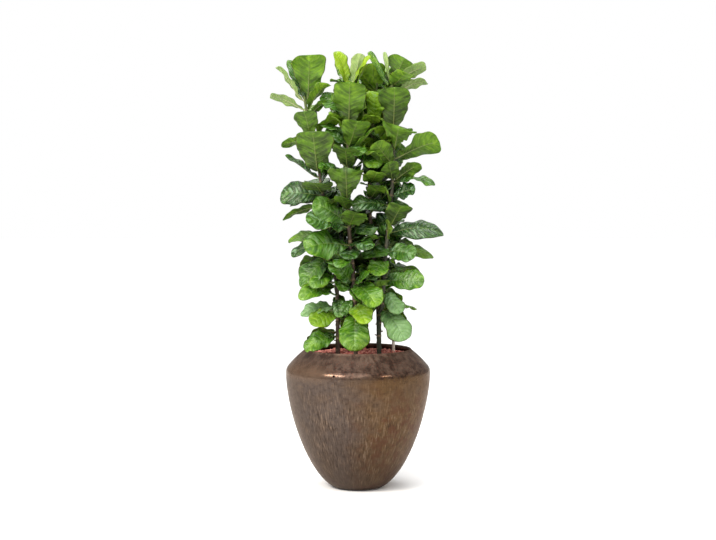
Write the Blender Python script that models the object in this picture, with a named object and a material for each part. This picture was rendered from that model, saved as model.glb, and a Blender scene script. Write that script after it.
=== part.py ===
"""Potted fiddle leaf fig: a glazed planter of clay granules with four leafy stems and a water gauge.

Metres, +Z up, the front towards -Y. The origin is the centre of the planter's foot, on the floor.
The planter is a turned shell, the stems are tapering tubes, and each leaf is a thin lofted blade
on its petiole. Tables below give stems and leaves in millimetres, as they were laid out by hand.
"""

import math

import bmesh
import bpy
import numpy as np

MM = 0.001
GAP = 0.3  # millimetres between pieces that touch

# Planter, in millimetres
FOOT_RADIUS = 85
BELLY_RADIUS = 250
BELLY_HEIGHT = 404
SHOULDER_ROUND = 26
SHOULDER_ANGLE = 47.5  # degrees that the shoulder turns before the collar starts
RIM_RADIUS = 180
RIM_HEIGHT = 480
WALL = 12
FLOOR = 18
TURN_STEPS = 40

# Filling and what stands in it, in millimetres
GRANULE_LEVEL = RIM_HEIGHT - 15
HOLE_STEPS = 16
GAUGE_AT = (125, 90)
GAUGE_RADIUS = 5.5
GAUGE_DEPTH = 120
GAUGE_TOP = 545
CAP_RADIUS = 7.5
CAP_HEIGHT = 12

# Heights at which the planter's inside, and the granules against it, change slope
INSIDE_LEVELS = np.array([FLOOR, 45, 90, 150, 220, 300, 370, 400, 420, 442, GRANULE_LEVEL])

# Stems, in millimetres
STEM_STATIONS = 20
BUD_LENGTH = 16

# Leaves, in millimetres
LEAF_TIP = 1.5
PETIOLE_SHARE = 0.14  # of the way from stem to tip
PETIOLE_RADIUS = 2.2
HEEL_RADIUS = 3.0  # where a petiole meets its stem
BLADE_THICKNESS = 1.6
RIB_THICKNESS = 2.6

# Each stem: its radius at the granules and near its top, and the points that it passes, in millimetres
# (right of centre, behind centre, height).
STEMS = {
    "left_stem": (7.5, 4.5, [
        (-70, -10, 405), (-70, -10, 490), (-70, -10, 600), (-74, -10, 700), (-88, -12, 800), (-104, -14, 900),
        (-119, -16, 1000), (-134, -18, 1100), (-152, -20, 1200), (-176, -20, 1300), (-184, -20, 1352),
    ]),
    "middle_stem": (8.0, 4.5, [
        (-8, -35, 405), (-8, -35, 490), (-12, -35, 640), (-18, -35, 760), (-28, -35, 860), (-36, -35, 1000),
        (-36, -35, 1100), (-34, -35, 1200), (-30, -35, 1300), (-26, -35, 1402),
    ]),
    "rear_stem": (7.0, 4.5, [
        (70, 38, 405), (70, 38, 490), (68, 38, 600), (62, 36, 700), (54, 34, 800), (45, 30, 900), (40, 30, 1000),
        (40, 30, 1090), (48, 30, 1200), (58, 30, 1300), (66, 30, 1400),
    ]),
    "right_stem": (9.0, 4.5, [
        (76, -5, 405), (76, -5, 490), (78, -5, 580), (84, -5, 640), (88, -5, 730), (98, -5, 830), (108, -5, 930),
        (118, -5, 1050), (122, -5, 1150), (120, -5, 1260), (116, -5, 1405),
    ]),
}

# Blade outlines: the half-width goes as sin(pi u^lean)^fullness, from the blade's foot (u = 0) to its tip.
# A lean over 1 puts the widest place past the middle; a low fullness makes the ends blunt.
BLADES = {
    "oval": (1.25, 0.6),
    "round": (1.35, 0.5),
    "fiddle": (1.9, 0.5),
    "young": (1.1, 0.7),
}

# Each leaf, in millimetres: its stem, the height where it joins, how far its tip reaches from there
# (right, front, up), its width, the way its upper face looks (right, front, up), how much its midrib
# arches as a share of its length, how far its halves fold up in degrees, and its outline.
LEAVES = {
    "left_leaf_01": ("left_stem", 532, (-104, 60, -45), 80, (0, 1, 1), 0.15, 12, "oval"),
    "left_leaf_04": ("left_stem", 690, (-54, 122, -30), 86, (0, 1, 1), 0.15, 8, "oval"),
    "left_leaf_05": ("left_stem", 752, (-114, 10, -88), 76, (0, 1, 1), 0.15, 8, "oval"),
    "left_leaf_06": ("left_stem", 792, (-100, 35, -88), 92, (0, 1, 1), 0.18, 5, "oval"),
    "left_leaf_07": ("left_stem", 848, (-134, 14, -38), 66, (0, 0.8, 1), 0.1, 8, "oval"),
    "left_leaf_08": ("left_stem", 874, (-142, -50, -12), 62, (0, 0.7, 1), 0.05, 8, "oval"),
    "left_leaf_09": ("left_stem", 975, (-140, 20, -56), 66, (-0.3, -0.8, 1), 0.12, 8, "oval"),
    "left_leaf_11": ("left_stem", 1008, (-146, 10, 22), 72, (0, 0.9, 0.7), 0.14, 5, "fiddle"),
    "left_leaf_12": ("left_stem", 1018, (-28, 110, 42), 104, (0, -0.4, 1), 0, 8, "oval"),
    "left_leaf_13": ("left_stem", 1070, (-118, -20, 78), 62, (0.57, 0.35, 0.75), 0, 20, "oval"),
    "left_leaf_14": ("left_stem", 1105, (-10, 45, 120), 118, (0.5, -1, 0), 0, 8, "fiddle"),
    "left_leaf_16": ("left_stem", 1192, (-30, 45, 105), 86, (0, -1, 0.4), 0, 8, "fiddle"),
    "left_leaf_18": ("left_stem", 1300, (-120, -10, 50), 66, (0, -0.7, 1), 0.1, 8, "fiddle"),
    "left_leaf_19": ("left_stem", 1333, (-102, 10, 104), 66, (0.5, -0.6, 0.6), 0, 14, "fiddle"),
    "left_leaf_20": ("left_stem", 1335, (14, -25, 155), 138, (0, 1, 0.2), 0.03, 5, "fiddle"),
    "left_leaf_21": ("left_stem", 1340, (-50, -60, 140), 84, (0.6, 0.7, 0.3), 0, 8, "fiddle"),
    "middle_leaf_01": ("middle_stem", 600, (2, 100, -113), 112, (0, 1, 0.9), 0.2, 4, "round"),
    "middle_leaf_03": ("middle_stem", 703, (76, 105, -62), 92, (0, 1, 1), 0.15, 5, "round"),
    "middle_leaf_04": ("middle_stem", 716, (-72, 50, 78), 86, (0.3, 1, 0.5), 0.1, 8, "round"),
    "middle_leaf_06": ("middle_stem", 838, (-150, 70, -3), 112, (0, 1, 1), 0.12, 5, "round"),
    "middle_leaf_08": ("middle_stem", 900, (-138, 75, 30), 92, (0, 1, 1), 0.1, 5, "round"),
    "middle_leaf_09": ("middle_stem", 905, (25, 95, 55), 94, (0, -0.6, 1), 0.05, 5, "round"),
    "middle_leaf_10": ("middle_stem", 922, (-112, 60, 66), 90, (0, 1, 0.6), 0.05, 5, "round"),
    "middle_leaf_11": ("middle_stem", 1003, (2, 75, 108), 132, (0, -0.7, 0.7), 0, 38, "fiddle"),
    "middle_leaf_13": ("middle_stem", 1105, (8, 95, 75), 110, (0, -0.6, 0.8), 0.05, 12, "fiddle"),
    "middle_leaf_16": ("middle_stem", 1175, (33, 60, 92), 94, (0, -1, 0.4), 0, 8, "fiddle"),
    "middle_leaf_18": ("middle_stem", 1258, (2, 42, 138), 122, (0, -1, 0.2), 0.02, 8, "fiddle"),
    "middle_leaf_21": ("middle_stem", 1392, (-46, 0, 110), 50, (0.6, 0.9, 0.2), 0.08, 22, "young"),
    "rear_leaf_05": ("rear_stem", 1050, (25, 95, 40), 82, (0, -0.6, 0.8), -0.05, 8, "round"),
    "rear_leaf_09": ("rear_stem", 1268, (6, 60, 92), 88, (-0.2, -1, 0.2), 0, 5, "fiddle"),
    "right_leaf_01": ("right_stem", 615, (78, 70, -97), 94, (0.3, 1, 0.6), 0.12, 4, "round"),
    "right_leaf_04": ("right_stem", 713, (134, 50, 5), 76, (0, 1, 0.5), 0.08, 6, "round"),
    "right_leaf_07": ("right_stem", 814, (164, -25, -14), 62, (0, 0.5, 1), 0.1, 8, "oval"),
    "right_leaf_10": ("right_stem", 880, (190, 15, 6), 78, (0, 1, 0.8), 0.2, 8, "oval"),
    "right_leaf_11": ("right_stem", 906, (42, 50, 78), 94, (0, -0.8, 0.5), 0, 5, "fiddle"),
    "right_leaf_15": ("right_stem", 1045, (142, 10, 6), 74, (0, 0.6, 1), 0.2, 8, "oval"),
    "right_leaf_19": ("right_stem", 1128, (154, 20, 55), 100, (0, -1, 0.7), 0.12, 6, "fiddle"),
    "right_leaf_22": ("right_stem", 1180, (22, 85, 62), 132, (0, -0.6, 0.8), 0, 36, "fiddle"),
    "right_leaf_23": ("right_stem", 1255, (8, 42, 124), 108, (0.1, -1, 0.1), 0.02, 5, "fiddle"),
    "right_leaf_27": ("right_stem", 1398, (46, -45, 92), 104, (0, 1, 0.3), 0, 5, "fiddle"),
}

# The leaves that have a near twin on the far side of their stem
TWINNED = (
    "left_leaf_04", "left_leaf_06", "left_leaf_12", "left_leaf_14", "middle_leaf_01", "middle_leaf_09",
    "middle_leaf_13", "middle_leaf_18", "rear_leaf_05", "rear_leaf_09", "right_leaf_04", "right_leaf_22",
)
TWIN_RISE = 14  # millimetres that the twin joins higher
TWIN_SCALE = 0.92


def clear_scene():
    for item in list(bpy.data.objects):
        bpy.data.objects.remove(item, do_unlink=True)


def finish(name, colour, roughness, metallic=0.0):
    """A plain Principled material; colour is linear red, green, blue."""
    made = bpy.data.materials.new(name)
    made.use_nodes = True
    shader = made.node_tree.nodes["Principled BSDF"]
    shader.inputs["Base Color"].default_value = (*colour, 1.0)
    shader.inputs["Roughness"].default_value = roughness
    shader.inputs["Metallic"].default_value = metallic
    made.diffuse_color = (*colour, 1.0)
    return made


def unit(vector):
    vector = np.asarray(vector, float)
    return vector / np.linalg.norm(vector)


def loft(name, rings, material, parent, place=(0, 0, 0)):
    """One closed body through rings of equally many points (millimetres, counter-clockwise seen
    from the last ring), with a flat end on the first and the last ring."""
    place = np.asarray(place, float)
    shape = bmesh.new()
    loops = [[shape.verts.new((point - place) * MM) for point in ring] for ring in rings]
    count = len(loops[0])
    for lower, upper in zip(loops, loops[1:]):
        for i in range(count):
            j = (i + 1) % count
            shape.faces.new((lower[i], lower[j], upper[j], upper[i]))
    shape.faces.new(loops[0][::-1])
    shape.faces.new(loops[-1])
    bmesh.ops.recalc_face_normals(shape, faces=shape.faces)
    mesh = bpy.data.meshes.new(name)
    shape.to_mesh(mesh)
    shape.free()
    mesh.shade_smooth()
    mesh.set_sharp_from_angle(angle=math.radians(40))
    mesh.materials.append(material)
    item = bpy.data.objects.new(name, mesh)
    item.location = place * MM
    item.parent = parent
    bpy.context.scene.collection.objects.link(item)
    return item


def turned_rings(radii, heights, centre=(0, 0), steps=TURN_STEPS):
    """Rings of a turned piece, one for each radius and height."""
    angles = np.arange(steps) * 2 * math.pi / steps
    rings = np.empty((len(radii), steps, 3))
    rings[:, :, 0] = centre[0] + np.outer(radii, np.cos(angles))
    rings[:, :, 1] = centre[1] + np.outer(radii, np.sin(angles))
    rings[:, :, 2] = np.reshape(heights, (-1, 1))
    return rings


def outer_profile():
    """Radius and height of the planter's outside, foot to rim: a swelling body, a tight round
    shoulder, and a straight collar that slopes in to the rim."""
    share = np.array([0, 0.012, 0.045, 0.1, 0.18, 0.29, 0.42, 0.57, 0.73, 0.88, 1.0])
    body_radius = FOOT_RADIUS + (BELLY_RADIUS - FOOT_RADIUS) * (1 - (1 - share) ** 1.62) ** 0.7
    body_height = share * BELLY_HEIGHT
    turn = np.radians(np.linspace(0, SHOULDER_ANGLE, 5)[1:])
    turn_radius = BELLY_RADIUS - SHOULDER_ROUND * (1 - np.cos(turn))
    turn_height = BELLY_HEIGHT + SHOULDER_ROUND * np.sin(turn)
    lip = WALL / 2
    radius = np.concatenate([body_radius, turn_radius, [RIM_RADIUS + lip * 0.7]])
    height = np.concatenate([body_height, turn_height, [RIM_HEIGHT - lip * 0.3]])
    return radius, height


def inside_radius(levels):
    """Radius of the planter's inside at each height: the outside's line moved in square to itself."""
    radius, height = outer_profile()
    run = np.gradient(radius)
    rise = np.gradient(height)
    length = np.hypot(run, rise)
    return np.interp(levels, height + WALL * run / length, radius - WALL * rise / length)


def make_planter(root):
    glaze = finish("bronze glaze", (0.13, 0.075, 0.045), 0.35, 0.5)
    radius, height = outer_profile()
    mouth = RIM_HEIGHT - WALL / 2
    levels = np.append(INSIDE_LEVELS, mouth)[::-1]
    inside = inside_radius(levels)
    lip_radius = [RIM_RADIUS - WALL * 0.1, RIM_RADIUS - WALL * 0.6]
    lip_height = [RIM_HEIGHT - 0.3, RIM_HEIGHT]
    return loft("planter", np.concatenate([
        turned_rings(radius, height),
        turned_rings(lip_radius, lip_height),
        turned_rings(inside, levels),
    ]), glaze, root)


def make_granules(root, holes):
    """The clay granules as one body, with a blind hole for each thing that is planted in it."""
    clay = finish("fired clay granules", (0.35, 0.12, 0.08), 0.9)
    levels = INSIDE_LEVELS.astype(float)
    levels[0] += GAP
    radius = inside_radius(INSIDE_LEVELS) - 1.3 * GAP
    granules = loft("clay_granules", turned_rings(radius, levels), clay, root)
    for name, centre, hole_radius, bottom in holes:
        outline = turned_rings([hole_radius] * 2, [bottom, RIM_HEIGHT + 20], centre, steps=HOLE_STEPS)
        cutter = loft(name + "_hole", outline, clay, root)
        cutter.hide_render = True
        cutter.display_type = "WIRE"
        cut = granules.modifiers.new(name, "BOOLEAN")
        cut.operation = "DIFFERENCE"
        cut.object = cutter
    return granules


def make_gauge(root):
    """A white tube that stands in the granules, with a round cap on top."""
    white = finish("white moulded plastic", (0.75, 0.72, 0.68), 0.4)
    bottom = GRANULE_LEVEL - GAUGE_DEPTH
    tube_radii = [GAUGE_RADIUS - 1, GAUGE_RADIUS, GAUGE_RADIUS]
    tube_heights = [bottom, bottom + 1, GAUGE_TOP]
    loft("water_gauge_tube", turned_rings(tube_radii, tube_heights, GAUGE_AT, HOLE_STEPS), white, root)
    cap_radii = [CAP_RADIUS - 0.8, CAP_RADIUS, CAP_RADIUS, CAP_RADIUS - 2]
    cap_heights = GAUGE_TOP + GAP + np.array([0, 0.8, CAP_HEIGHT - 2, CAP_HEIGHT])
    loft("water_gauge_cap", turned_rings(cap_radii, cap_heights, GAUGE_AT, HOLE_STEPS), white, root)


def through(at, knots, values):
    """Smooth curve through the knots, whose slope at each knot is that between its neighbours."""
    slopes = np.gradient(values, knots, axis=0)
    i = np.clip(np.searchsorted(knots, at, side="right") - 1, 0, len(knots) - 2)
    step = (knots[i + 1] - knots[i])[:, None]
    s = (at - knots[i])[:, None] / step
    return (
        (2 * s**3 - 3 * s**2 + 1) * values[i] + (s**3 - 2 * s**2 + s) * step * slopes[i]
        + (3 * s**2 - 2 * s**3) * values[i + 1] + (s**3 - s**2) * step * slopes[i + 1]
    )


def stem_centre(stem, heights):
    """Points on a stem's middle line at these heights."""
    knots = np.array(STEMS[stem][2], float)
    heights = np.atleast_1d(np.asarray(heights, float))
    return np.column_stack([through(heights, knots[:, 2], knots[:, :2]), heights])


def stem_radius(stem, heights):
    """Even taper from the granules to the top."""
    thick, thin, knots = STEMS[stem]
    return np.interp(heights, [GRANULE_LEVEL, knots[-1][2]], [thick, thin])


def make_stem(stem, bark, root):
    """A tube through the stem's points that closes to a bud at its top."""
    bottom, top = STEMS[stem][2][0][2], STEMS[stem][2][-1][2]
    heights = np.append(np.linspace(bottom, top - BUD_LENGTH, STEM_STATIONS), [top - BUD_LENGTH * 0.4, top])
    radii = stem_radius(stem, heights)
    radii[-2:] *= [0.8, 0.3]
    curve = bpy.data.curves.new(stem, "CURVE")
    curve.dimensions = "3D"
    curve.bevel_depth = MM
    curve.bevel_resolution = 3
    curve.use_fill_caps = True
    spline = curve.splines.new("POLY")
    spline.points.add(len(heights) - 1)
    for point, centre, radius in zip(spline.points, stem_centre(stem, heights), radii):
        point.co = (*(centre * MM), 1)
        point.radius = radius
    curve.materials.append(bark)
    item = bpy.data.objects.new(stem, curve)
    item.parent = root
    bpy.context.scene.collection.objects.link(item)
    return item


def leaf_rings(stem, height, reach, width, face, arch, fold, blade):
    """Rings of a leaf: a heel flat on the stem, a round petiole, and a thin blade that folds up from
    its midrib. The midrib is a cubic curve that leaves the stem outwards and a little up."""
    reach = np.array([reach[0], -reach[1], reach[2]], float)
    face = np.array([face[0], -face[1], face[2]], float)
    foot = stem_centre(stem, [height - 1, height, height + 1])
    grain = unit(foot[2] - foot[0])
    out = np.array([reach[0], reach[1], 0])
    out = unit(out - grain * (out @ grain))
    start = foot[1] + out * (stem_radius(stem, height) + GAP)
    length = np.linalg.norm(reach)
    along = reach / length
    up = unit(face - along * (face @ along))
    side = np.cross(up, along)
    pull_out = start + unit(out + [0, 0, 0.35]) * 0.13 * length
    pull_over = start + along * 0.55 * length + up * arch * 1.35 * length
    end = start + reach

    blade_share = np.array([0.1, 0.3, 0.55, 0.78, 0.93, 1.0])
    share = np.concatenate([[0.03, PETIOLE_SHARE * 0.9], PETIOLE_SHARE + (1 - PETIOLE_SHARE) * blade_share])
    t = share[:, None]
    middle = (1 - t)**3 * start + 3 * t * (1 - t)**2 * pull_out + 3 * t**2 * (1 - t) * pull_over + t**3 * end
    heading = (1 - t)**2 * (pull_out - start) + 2 * t * (1 - t) * (pull_over - pull_out) + t**2 * (end - pull_over)
    heading /= np.linalg.norm(heading, axis=1, keepdims=True)
    across = side - heading * (heading @ side)[:, None]
    across /= np.linalg.norm(across, axis=1, keepdims=True)
    over = np.cross(heading, across)

    turn = np.arange(8) * math.pi / 4
    heel_across = unit(across[0] - out * (across[0] @ out))
    heel_over = np.cross(out, heel_across)
    rings = [start + HEEL_RADIUS * (np.outer(np.cos(turn), heel_across) + np.outer(np.sin(turn), heel_over))]
    for i in range(2):
        spoke = np.outer(np.cos(turn), across[i]) + np.outer(np.sin(turn), over[i])
        rings.append(middle[i] + PETIOLE_RADIUS * spoke)

    # Round the blade's edge: right, half right, midrib, half left, left, then back underneath
    place = np.array([1, 0.5, 0, -0.5, -1, -0.5, 0, 0.5])
    surface = np.array([0, 1, 1, 1, 0, -1, -1, -1])
    rib = np.where(place == 0, surface, 0)
    thick = surface * BLADE_THICKNESS / 2 + rib * (RIB_THICKNESS - BLADE_THICKNESS) / 2
    lean, fullness = BLADES[blade]
    half = width / 2 * np.sin(math.pi * blade_share**lean).clip(0) ** fullness
    half = np.maximum(half, LEAF_TIP)
    softness = 0.25
    rise = (np.hypot(place, softness) - softness) / (math.hypot(1, softness) - softness)
    fold = math.radians(fold)
    for i, reach_out in enumerate(half):
        thinned = thick * (0.5 if i == len(half) - 1 else 1)
        flat = np.outer(reach_out * place * math.cos(fold), across[i + 2])
        raised = np.outer(reach_out * rise * math.sin(fold) + thinned, over[i + 2])
        rings.append(middle[i + 2] + flat + raised)
    return rings, start


def twin(stem, height, reach, width, face, arch, fold, blade):
    """The same leaf on the far side of its stem: a little higher and smaller, and facing the other way."""
    reach = (TWIN_SCALE * reach[0], -TWIN_SCALE * reach[1], TWIN_SCALE * reach[2])
    return stem, height + TWIN_RISE, reach, TWIN_SCALE * width, (face[0], -face[1], face[2]), arch, fold, blade


def main():
    clear_scene()
    root = bpy.data.objects.new("potted_fig", None)
    bpy.context.scene.collection.objects.link(root)
    bark = finish("brown-green bark", (0.06, 0.045, 0.025), 0.7)
    green = finish("leathery leaf", (0.06, 0.16, 0.02), 0.4)
    lime = finish("young leaf", (0.35, 0.5, 0.02), 0.4)

    holes = [("water_gauge", GAUGE_AT, GAUGE_RADIUS + 2 * GAP, GRANULE_LEVEL - GAUGE_DEPTH - GAP)]
    for stem, (thick, _, knots) in STEMS.items():
        holes.append((stem, knots[0][:2], thick + 2 * GAP, knots[0][2] - GAP))
    make_planter(root)
    make_granules(root, holes)
    make_gauge(root)
    stems = {stem: make_stem(stem, bark, root) for stem in STEMS}
    leaves = dict(LEAVES)
    leaves.update((name + "_twin", twin(*LEAVES[name])) for name in TWINNED)
    for name, leaf in leaves.items():
        rings, start = leaf_rings(*leaf)
        loft(name, rings, lime if leaf[-1] == "young" else green, stems[leaf[0]], start)


main()
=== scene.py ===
# %% [markdown]
# # Potted fiddle leaf fig
# The object is a tall house plant: four slim woody stems in a round glazed planter full of fired clay
# granules, with a white water gauge beside them, and nearly three hundred leathery leaves.
# A leaf can be made in three ways. A flat picture on a card is light but false from the side. A sculpted
# mesh looks good but can't be repeated. A surface worked out from a formula gives each leaf its own
# length, width, fold and waves from one short row of a table, so that way is used for nearly everything.
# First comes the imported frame. Each of its nodes gets a finer piece that stands in the same place.

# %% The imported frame
import math

import bpy
import numpy as np
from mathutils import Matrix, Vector


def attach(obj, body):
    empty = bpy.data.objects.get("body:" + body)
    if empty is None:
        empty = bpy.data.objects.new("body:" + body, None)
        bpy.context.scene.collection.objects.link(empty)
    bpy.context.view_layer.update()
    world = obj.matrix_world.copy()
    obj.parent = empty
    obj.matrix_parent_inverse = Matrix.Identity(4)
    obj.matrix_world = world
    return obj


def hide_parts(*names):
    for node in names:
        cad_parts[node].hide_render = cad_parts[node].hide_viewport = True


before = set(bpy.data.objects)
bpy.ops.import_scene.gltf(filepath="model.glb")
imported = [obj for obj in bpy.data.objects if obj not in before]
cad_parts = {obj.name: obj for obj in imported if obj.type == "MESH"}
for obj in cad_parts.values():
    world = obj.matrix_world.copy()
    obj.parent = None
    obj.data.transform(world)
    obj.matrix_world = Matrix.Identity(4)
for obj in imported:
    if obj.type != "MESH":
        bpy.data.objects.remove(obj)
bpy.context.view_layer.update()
MM = 0.001

# %% [markdown]
# ## Helpers for surfaces
# Every piece here is a closed tube: a row of rings that runs from one pole to the other. A planter is a
# tube turned inside out at its rim, a stem is a long thin one, and a leaf blade is a tube squashed flat.
# So one function numbers the faces of such a tube, and one makes an object out of one or more tubes.
# Numpy does both with whole arrays, which is quick even for a hundred thousand faces.

# %% Tubes and pieces
def unit(vectors):
    """Vectors of length 1 in the same directions."""
    vectors = np.asarray(vectors, float)
    return vectors / np.maximum(np.linalg.norm(vectors, axis=-1, keepdims=True), 1e-12)


def even_turns(count):
    """Even angles round a circle."""
    return np.arange(count) * 2 * math.pi / count


def spokes(across, over, turns):
    """Directions square to a line, at angles that turn from the one across it to the one over it."""
    return across[..., None, :] * np.cos(turns)[:, None] + over[..., None, :] * np.sin(turns)[:, None]


def tube(rings, foot, tip):
    """Points, quads and triangles of a closed tube. Rings run counter-clockwise seen from the tip, and a fan
    of triangles joins the first ring to the foot point and the last one to the tip point."""
    rows, count = rings.shape[:2]
    row = np.arange(rows - 1)[:, None] * count
    here = np.arange(count)
    after = (here + 1) % count
    quads = np.stack([row + here, row + after, row + count + after, row + count + here], -1).reshape(-1, 4)
    foot_at, tip_at, last = rows * count, rows * count + 1, (rows - 1) * count
    fans = [np.column_stack([np.full(count, foot_at), after, here]),
            np.column_stack([np.full(count, tip_at), last + here, last + after])]
    points = np.concatenate([rings.reshape(-1, 3), [foot], [tip]])
    return points, quads, np.concatenate(fans)


def make_piece(name, tubes, materials, values=None, chart=None, smooth=True):
    """One object made of (points, quads, triangles, material number) tubes in metres. Values are named
    numbers for every point, and chart gives every point its place on the flat pattern."""
    points = np.concatenate([part[0] for part in tubes])
    starts = np.cumsum([0] + [len(part[0]) for part in tubes[:-1]])
    quads = np.concatenate([part[1] + start for part, start in zip(tubes, starts)])
    triangles = np.concatenate([part[2] + start for part, start in zip(tubes, starts)])
    painted = np.concatenate([np.full(len(part[1]), part[3]) for part in tubes]
                             + [np.full(len(part[2]), part[3]) for part in tubes])
    corners = np.concatenate([quads.ravel(), triangles.ravel()])
    first = np.concatenate([np.arange(len(quads)) * 4, len(quads) * 4 + np.arange(len(triangles)) * 3])
    mesh = bpy.data.meshes.new(name)
    mesh.vertices.add(len(points))
    mesh.vertices.foreach_set("co", points.astype(np.float32).ravel())
    mesh.loops.add(len(corners))
    mesh.loops.foreach_set("vertex_index", corners.astype(np.int32))
    mesh.polygons.add(len(first))
    mesh.polygons.foreach_set("loop_start", first.astype(np.int32))
    mesh.polygons.foreach_set("material_index", painted.astype(np.int32))
    mesh.update(calc_edges=True)
    mesh.shade_smooth() if smooth else mesh.shade_flat()
    for label, numbers in (values or {}).items():
        layer = mesh.attributes.new(label, "FLOAT", "POINT")
        layer.data.foreach_set("value", np.asarray(numbers, np.float32))
    if chart is not None:
        layer = mesh.uv_layers.new(name="Chart")
        layer.data.foreach_set("uv", chart[corners].astype(np.float32).ravel())
    for material in materials:
        mesh.materials.append(material)
    piece = bpy.data.objects.new(name, mesh)
    bpy.context.scene.collection.objects.link(piece)
    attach(piece, "root")
    return piece


def triangle_count(piece):
    return sum(len(polygon.vertices) - 2 for polygon in piece.data.polygons)


# %% [markdown]
# ## Helpers for finishes
# A colour is written as the sRGB hex value that a paint chart gives, and turned to linear light, which is
# what a shader computes with. A pattern is a little tree of nodes. They could each be wired by hand in
# four lines, but one function that adds a node with its settings and inputs keeps a finish readable.

# %% Colours and nodes
SOFT_STEP = {"interpolation_type": "SMOOTHSTEP"}
COLOURS = {"data_type": "RGBA"}


def linear(hex_value):
    """Linear red, green, blue and alpha of an sRGB hex value."""
    share = np.array([int(hex_value[i:i + 2], 16) for i in (1, 3, 5)]) / 255
    light = np.where(share <= 0.04045, share / 12.92, ((share + 0.055) / 1.055) ** 2.4)
    return (*light.tolist(), 1.0)


def wire(tree, node, inputs):
    """Sets a node's inputs, given by name or number, or in order from the first. Each becomes a value, or a
    link from a socket or from another node's main output."""
    for name, value in inputs.items() if isinstance(inputs, dict) else enumerate(inputs):
        if isinstance(value, bpy.types.Node):
            value = next(socket for socket in value.outputs if socket.enabled)
        if isinstance(value, bpy.types.NodeSocket):
            tree.links.new(value, node.inputs[name])
        else:
            node.inputs[name].default_value = value


def add(tree, kind, settings=None, inputs=()):
    """A new node with its inputs wired. Settings are its properties, or just the name of its operation."""
    made = tree.nodes.new("ShaderNode" + kind)
    if isinstance(settings, str):
        settings = {"operation": settings}
    for name, value in (settings or {}).items():
        setattr(made, name, value)
    wire(tree, made, inputs)
    return made


def new_finish(name, inputs):
    """A Principled material, its node tree and its shader, with the shader's plain inputs set."""
    made = bpy.data.materials.new(name)
    made.use_nodes = True
    shader = made.node_tree.nodes["Principled BSDF"]
    wire(made.node_tree, shader, inputs)
    return made, made.node_tree, shader


# %% [markdown]
# ## The planter
# The real planter is thrown or slip-cast stoneware: a narrow foot, a body that swells to a tight round
# shoulder, and a barely bulging collar that slopes in to a thin rim. It could be lathed from a drawn outline
# with a Screw modifier. Here the outline is a formula, so that the wall has an even thickness and the
# rings fall close together where the shape turns. The body's line is a power curve: steep and fast near
# the foot, almost upright at the shoulder.

# %% Planter sizes and outline
FOOT_RADIUS = 76  # mm, as all sizes here; the foot's edge is rounded in
BELLY_RADIUS = 250
BELLY_HEIGHT = 400
SHOULDER_ROUND = 36
SHOULDER_ANGLE = 47.5
RIM_RADIUS = 180
RIM_HEIGHT = 480
WALL = 12
FLOOR = 18
GRANULE_LEVEL = RIM_HEIGHT - 15
ROUND_STEPS = 256  # points round a turned piece
COLLAR_BULGE = 2.5
LIP_START = 0.35  # of the wall, that the collar ends outside the rim's radius
LIP_DROP = 0.15  # of the wall, that it ends below the rim


def outside_line():
    """Radius and height (mm) of the outside from foot to lip. With s the share of the body's height, the
    body's radius goes from foot to belly as (1 - (1 - s)^1.62)^0.62. An arc then turns the shoulder, and a
    collar that bulges 2.5 mm leads to the lip."""
    share = np.linspace(0.06, 1, 96) ** 1.6
    body_radius = FOOT_RADIUS + (BELLY_RADIUS - FOOT_RADIUS) * (1 - (1 - share) ** 1.62) ** 0.62
    turn = np.radians(np.linspace(0, SHOULDER_ANGLE, 16)[1:])
    turn_radius = BELLY_RADIUS - SHOULDER_ROUND * (1 - np.cos(turn))
    turn_height = BELLY_HEIGHT + SHOULDER_ROUND * np.sin(turn)
    collar = np.linspace(0, 1, 16)[1:]
    collar_radius = turn_radius[-1] + (RIM_RADIUS + WALL * LIP_START - turn_radius[-1]) * collar
    collar_radius = collar_radius + COLLAR_BULGE * np.sin(math.pi * collar)
    collar_height = turn_height[-1] + (RIM_HEIGHT - WALL * LIP_DROP - turn_height[-1]) * collar
    radius = np.concatenate([body_radius, turn_radius, collar_radius])
    height = np.concatenate([share * BELLY_HEIGHT, turn_height, collar_height])
    return radius, height


def inside_line(heights):
    """Radius of the inside at each height: the outside's line moved in by the wall, square to itself."""
    radius, height = outside_line()
    run, rise = np.gradient(radius), np.gradient(height)
    length = np.hypot(run, rise)
    return np.interp(heights, height + WALL * run / length, radius - WALL * rise / length)


def turned(radii, heights, centre=(0, 0), steps=ROUND_STEPS):
    """Rings of a turned shape (metres), one for each radius and height (mm) round the centre."""
    angle = even_turns(steps)
    radii, heights = np.broadcast_arrays(np.reshape(radii, (-1, 1)), np.reshape(heights, (-1, 1)))
    right, back = centre[0] + radii * np.cos(angle), centre[1] + radii * np.sin(angle)
    return np.stack(np.broadcast_arrays(right, back, heights), -1) * MM


# %% [markdown]
# The glaze is an aged bronze: a metallic stoneware glaze whose iron and copper part in the kiln, so that
# it runs down in fine drips, pools darker on the shoulder and burns to gold on the side that faced the
# flame. Drips painted by hand would only fit one side. Noise stretched along the pot's height gives
# drips of any length, and because it reads the direction from the axis, not the plain position, the
# drips follow the swelling wall and close round the back without a seam.

# %% Bronze glaze
PIT_AT = (-0.080, -0.2344, 0.412)  # metres
SPECKS_AT = ((0.149, -0.1995, 0.394), (0.158, -0.1925, 0.391), (0.153, -0.1965, 0.385))
PIT_RADIUS = 0.0056
SPECK_RADIUS = 0.0016


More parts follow.
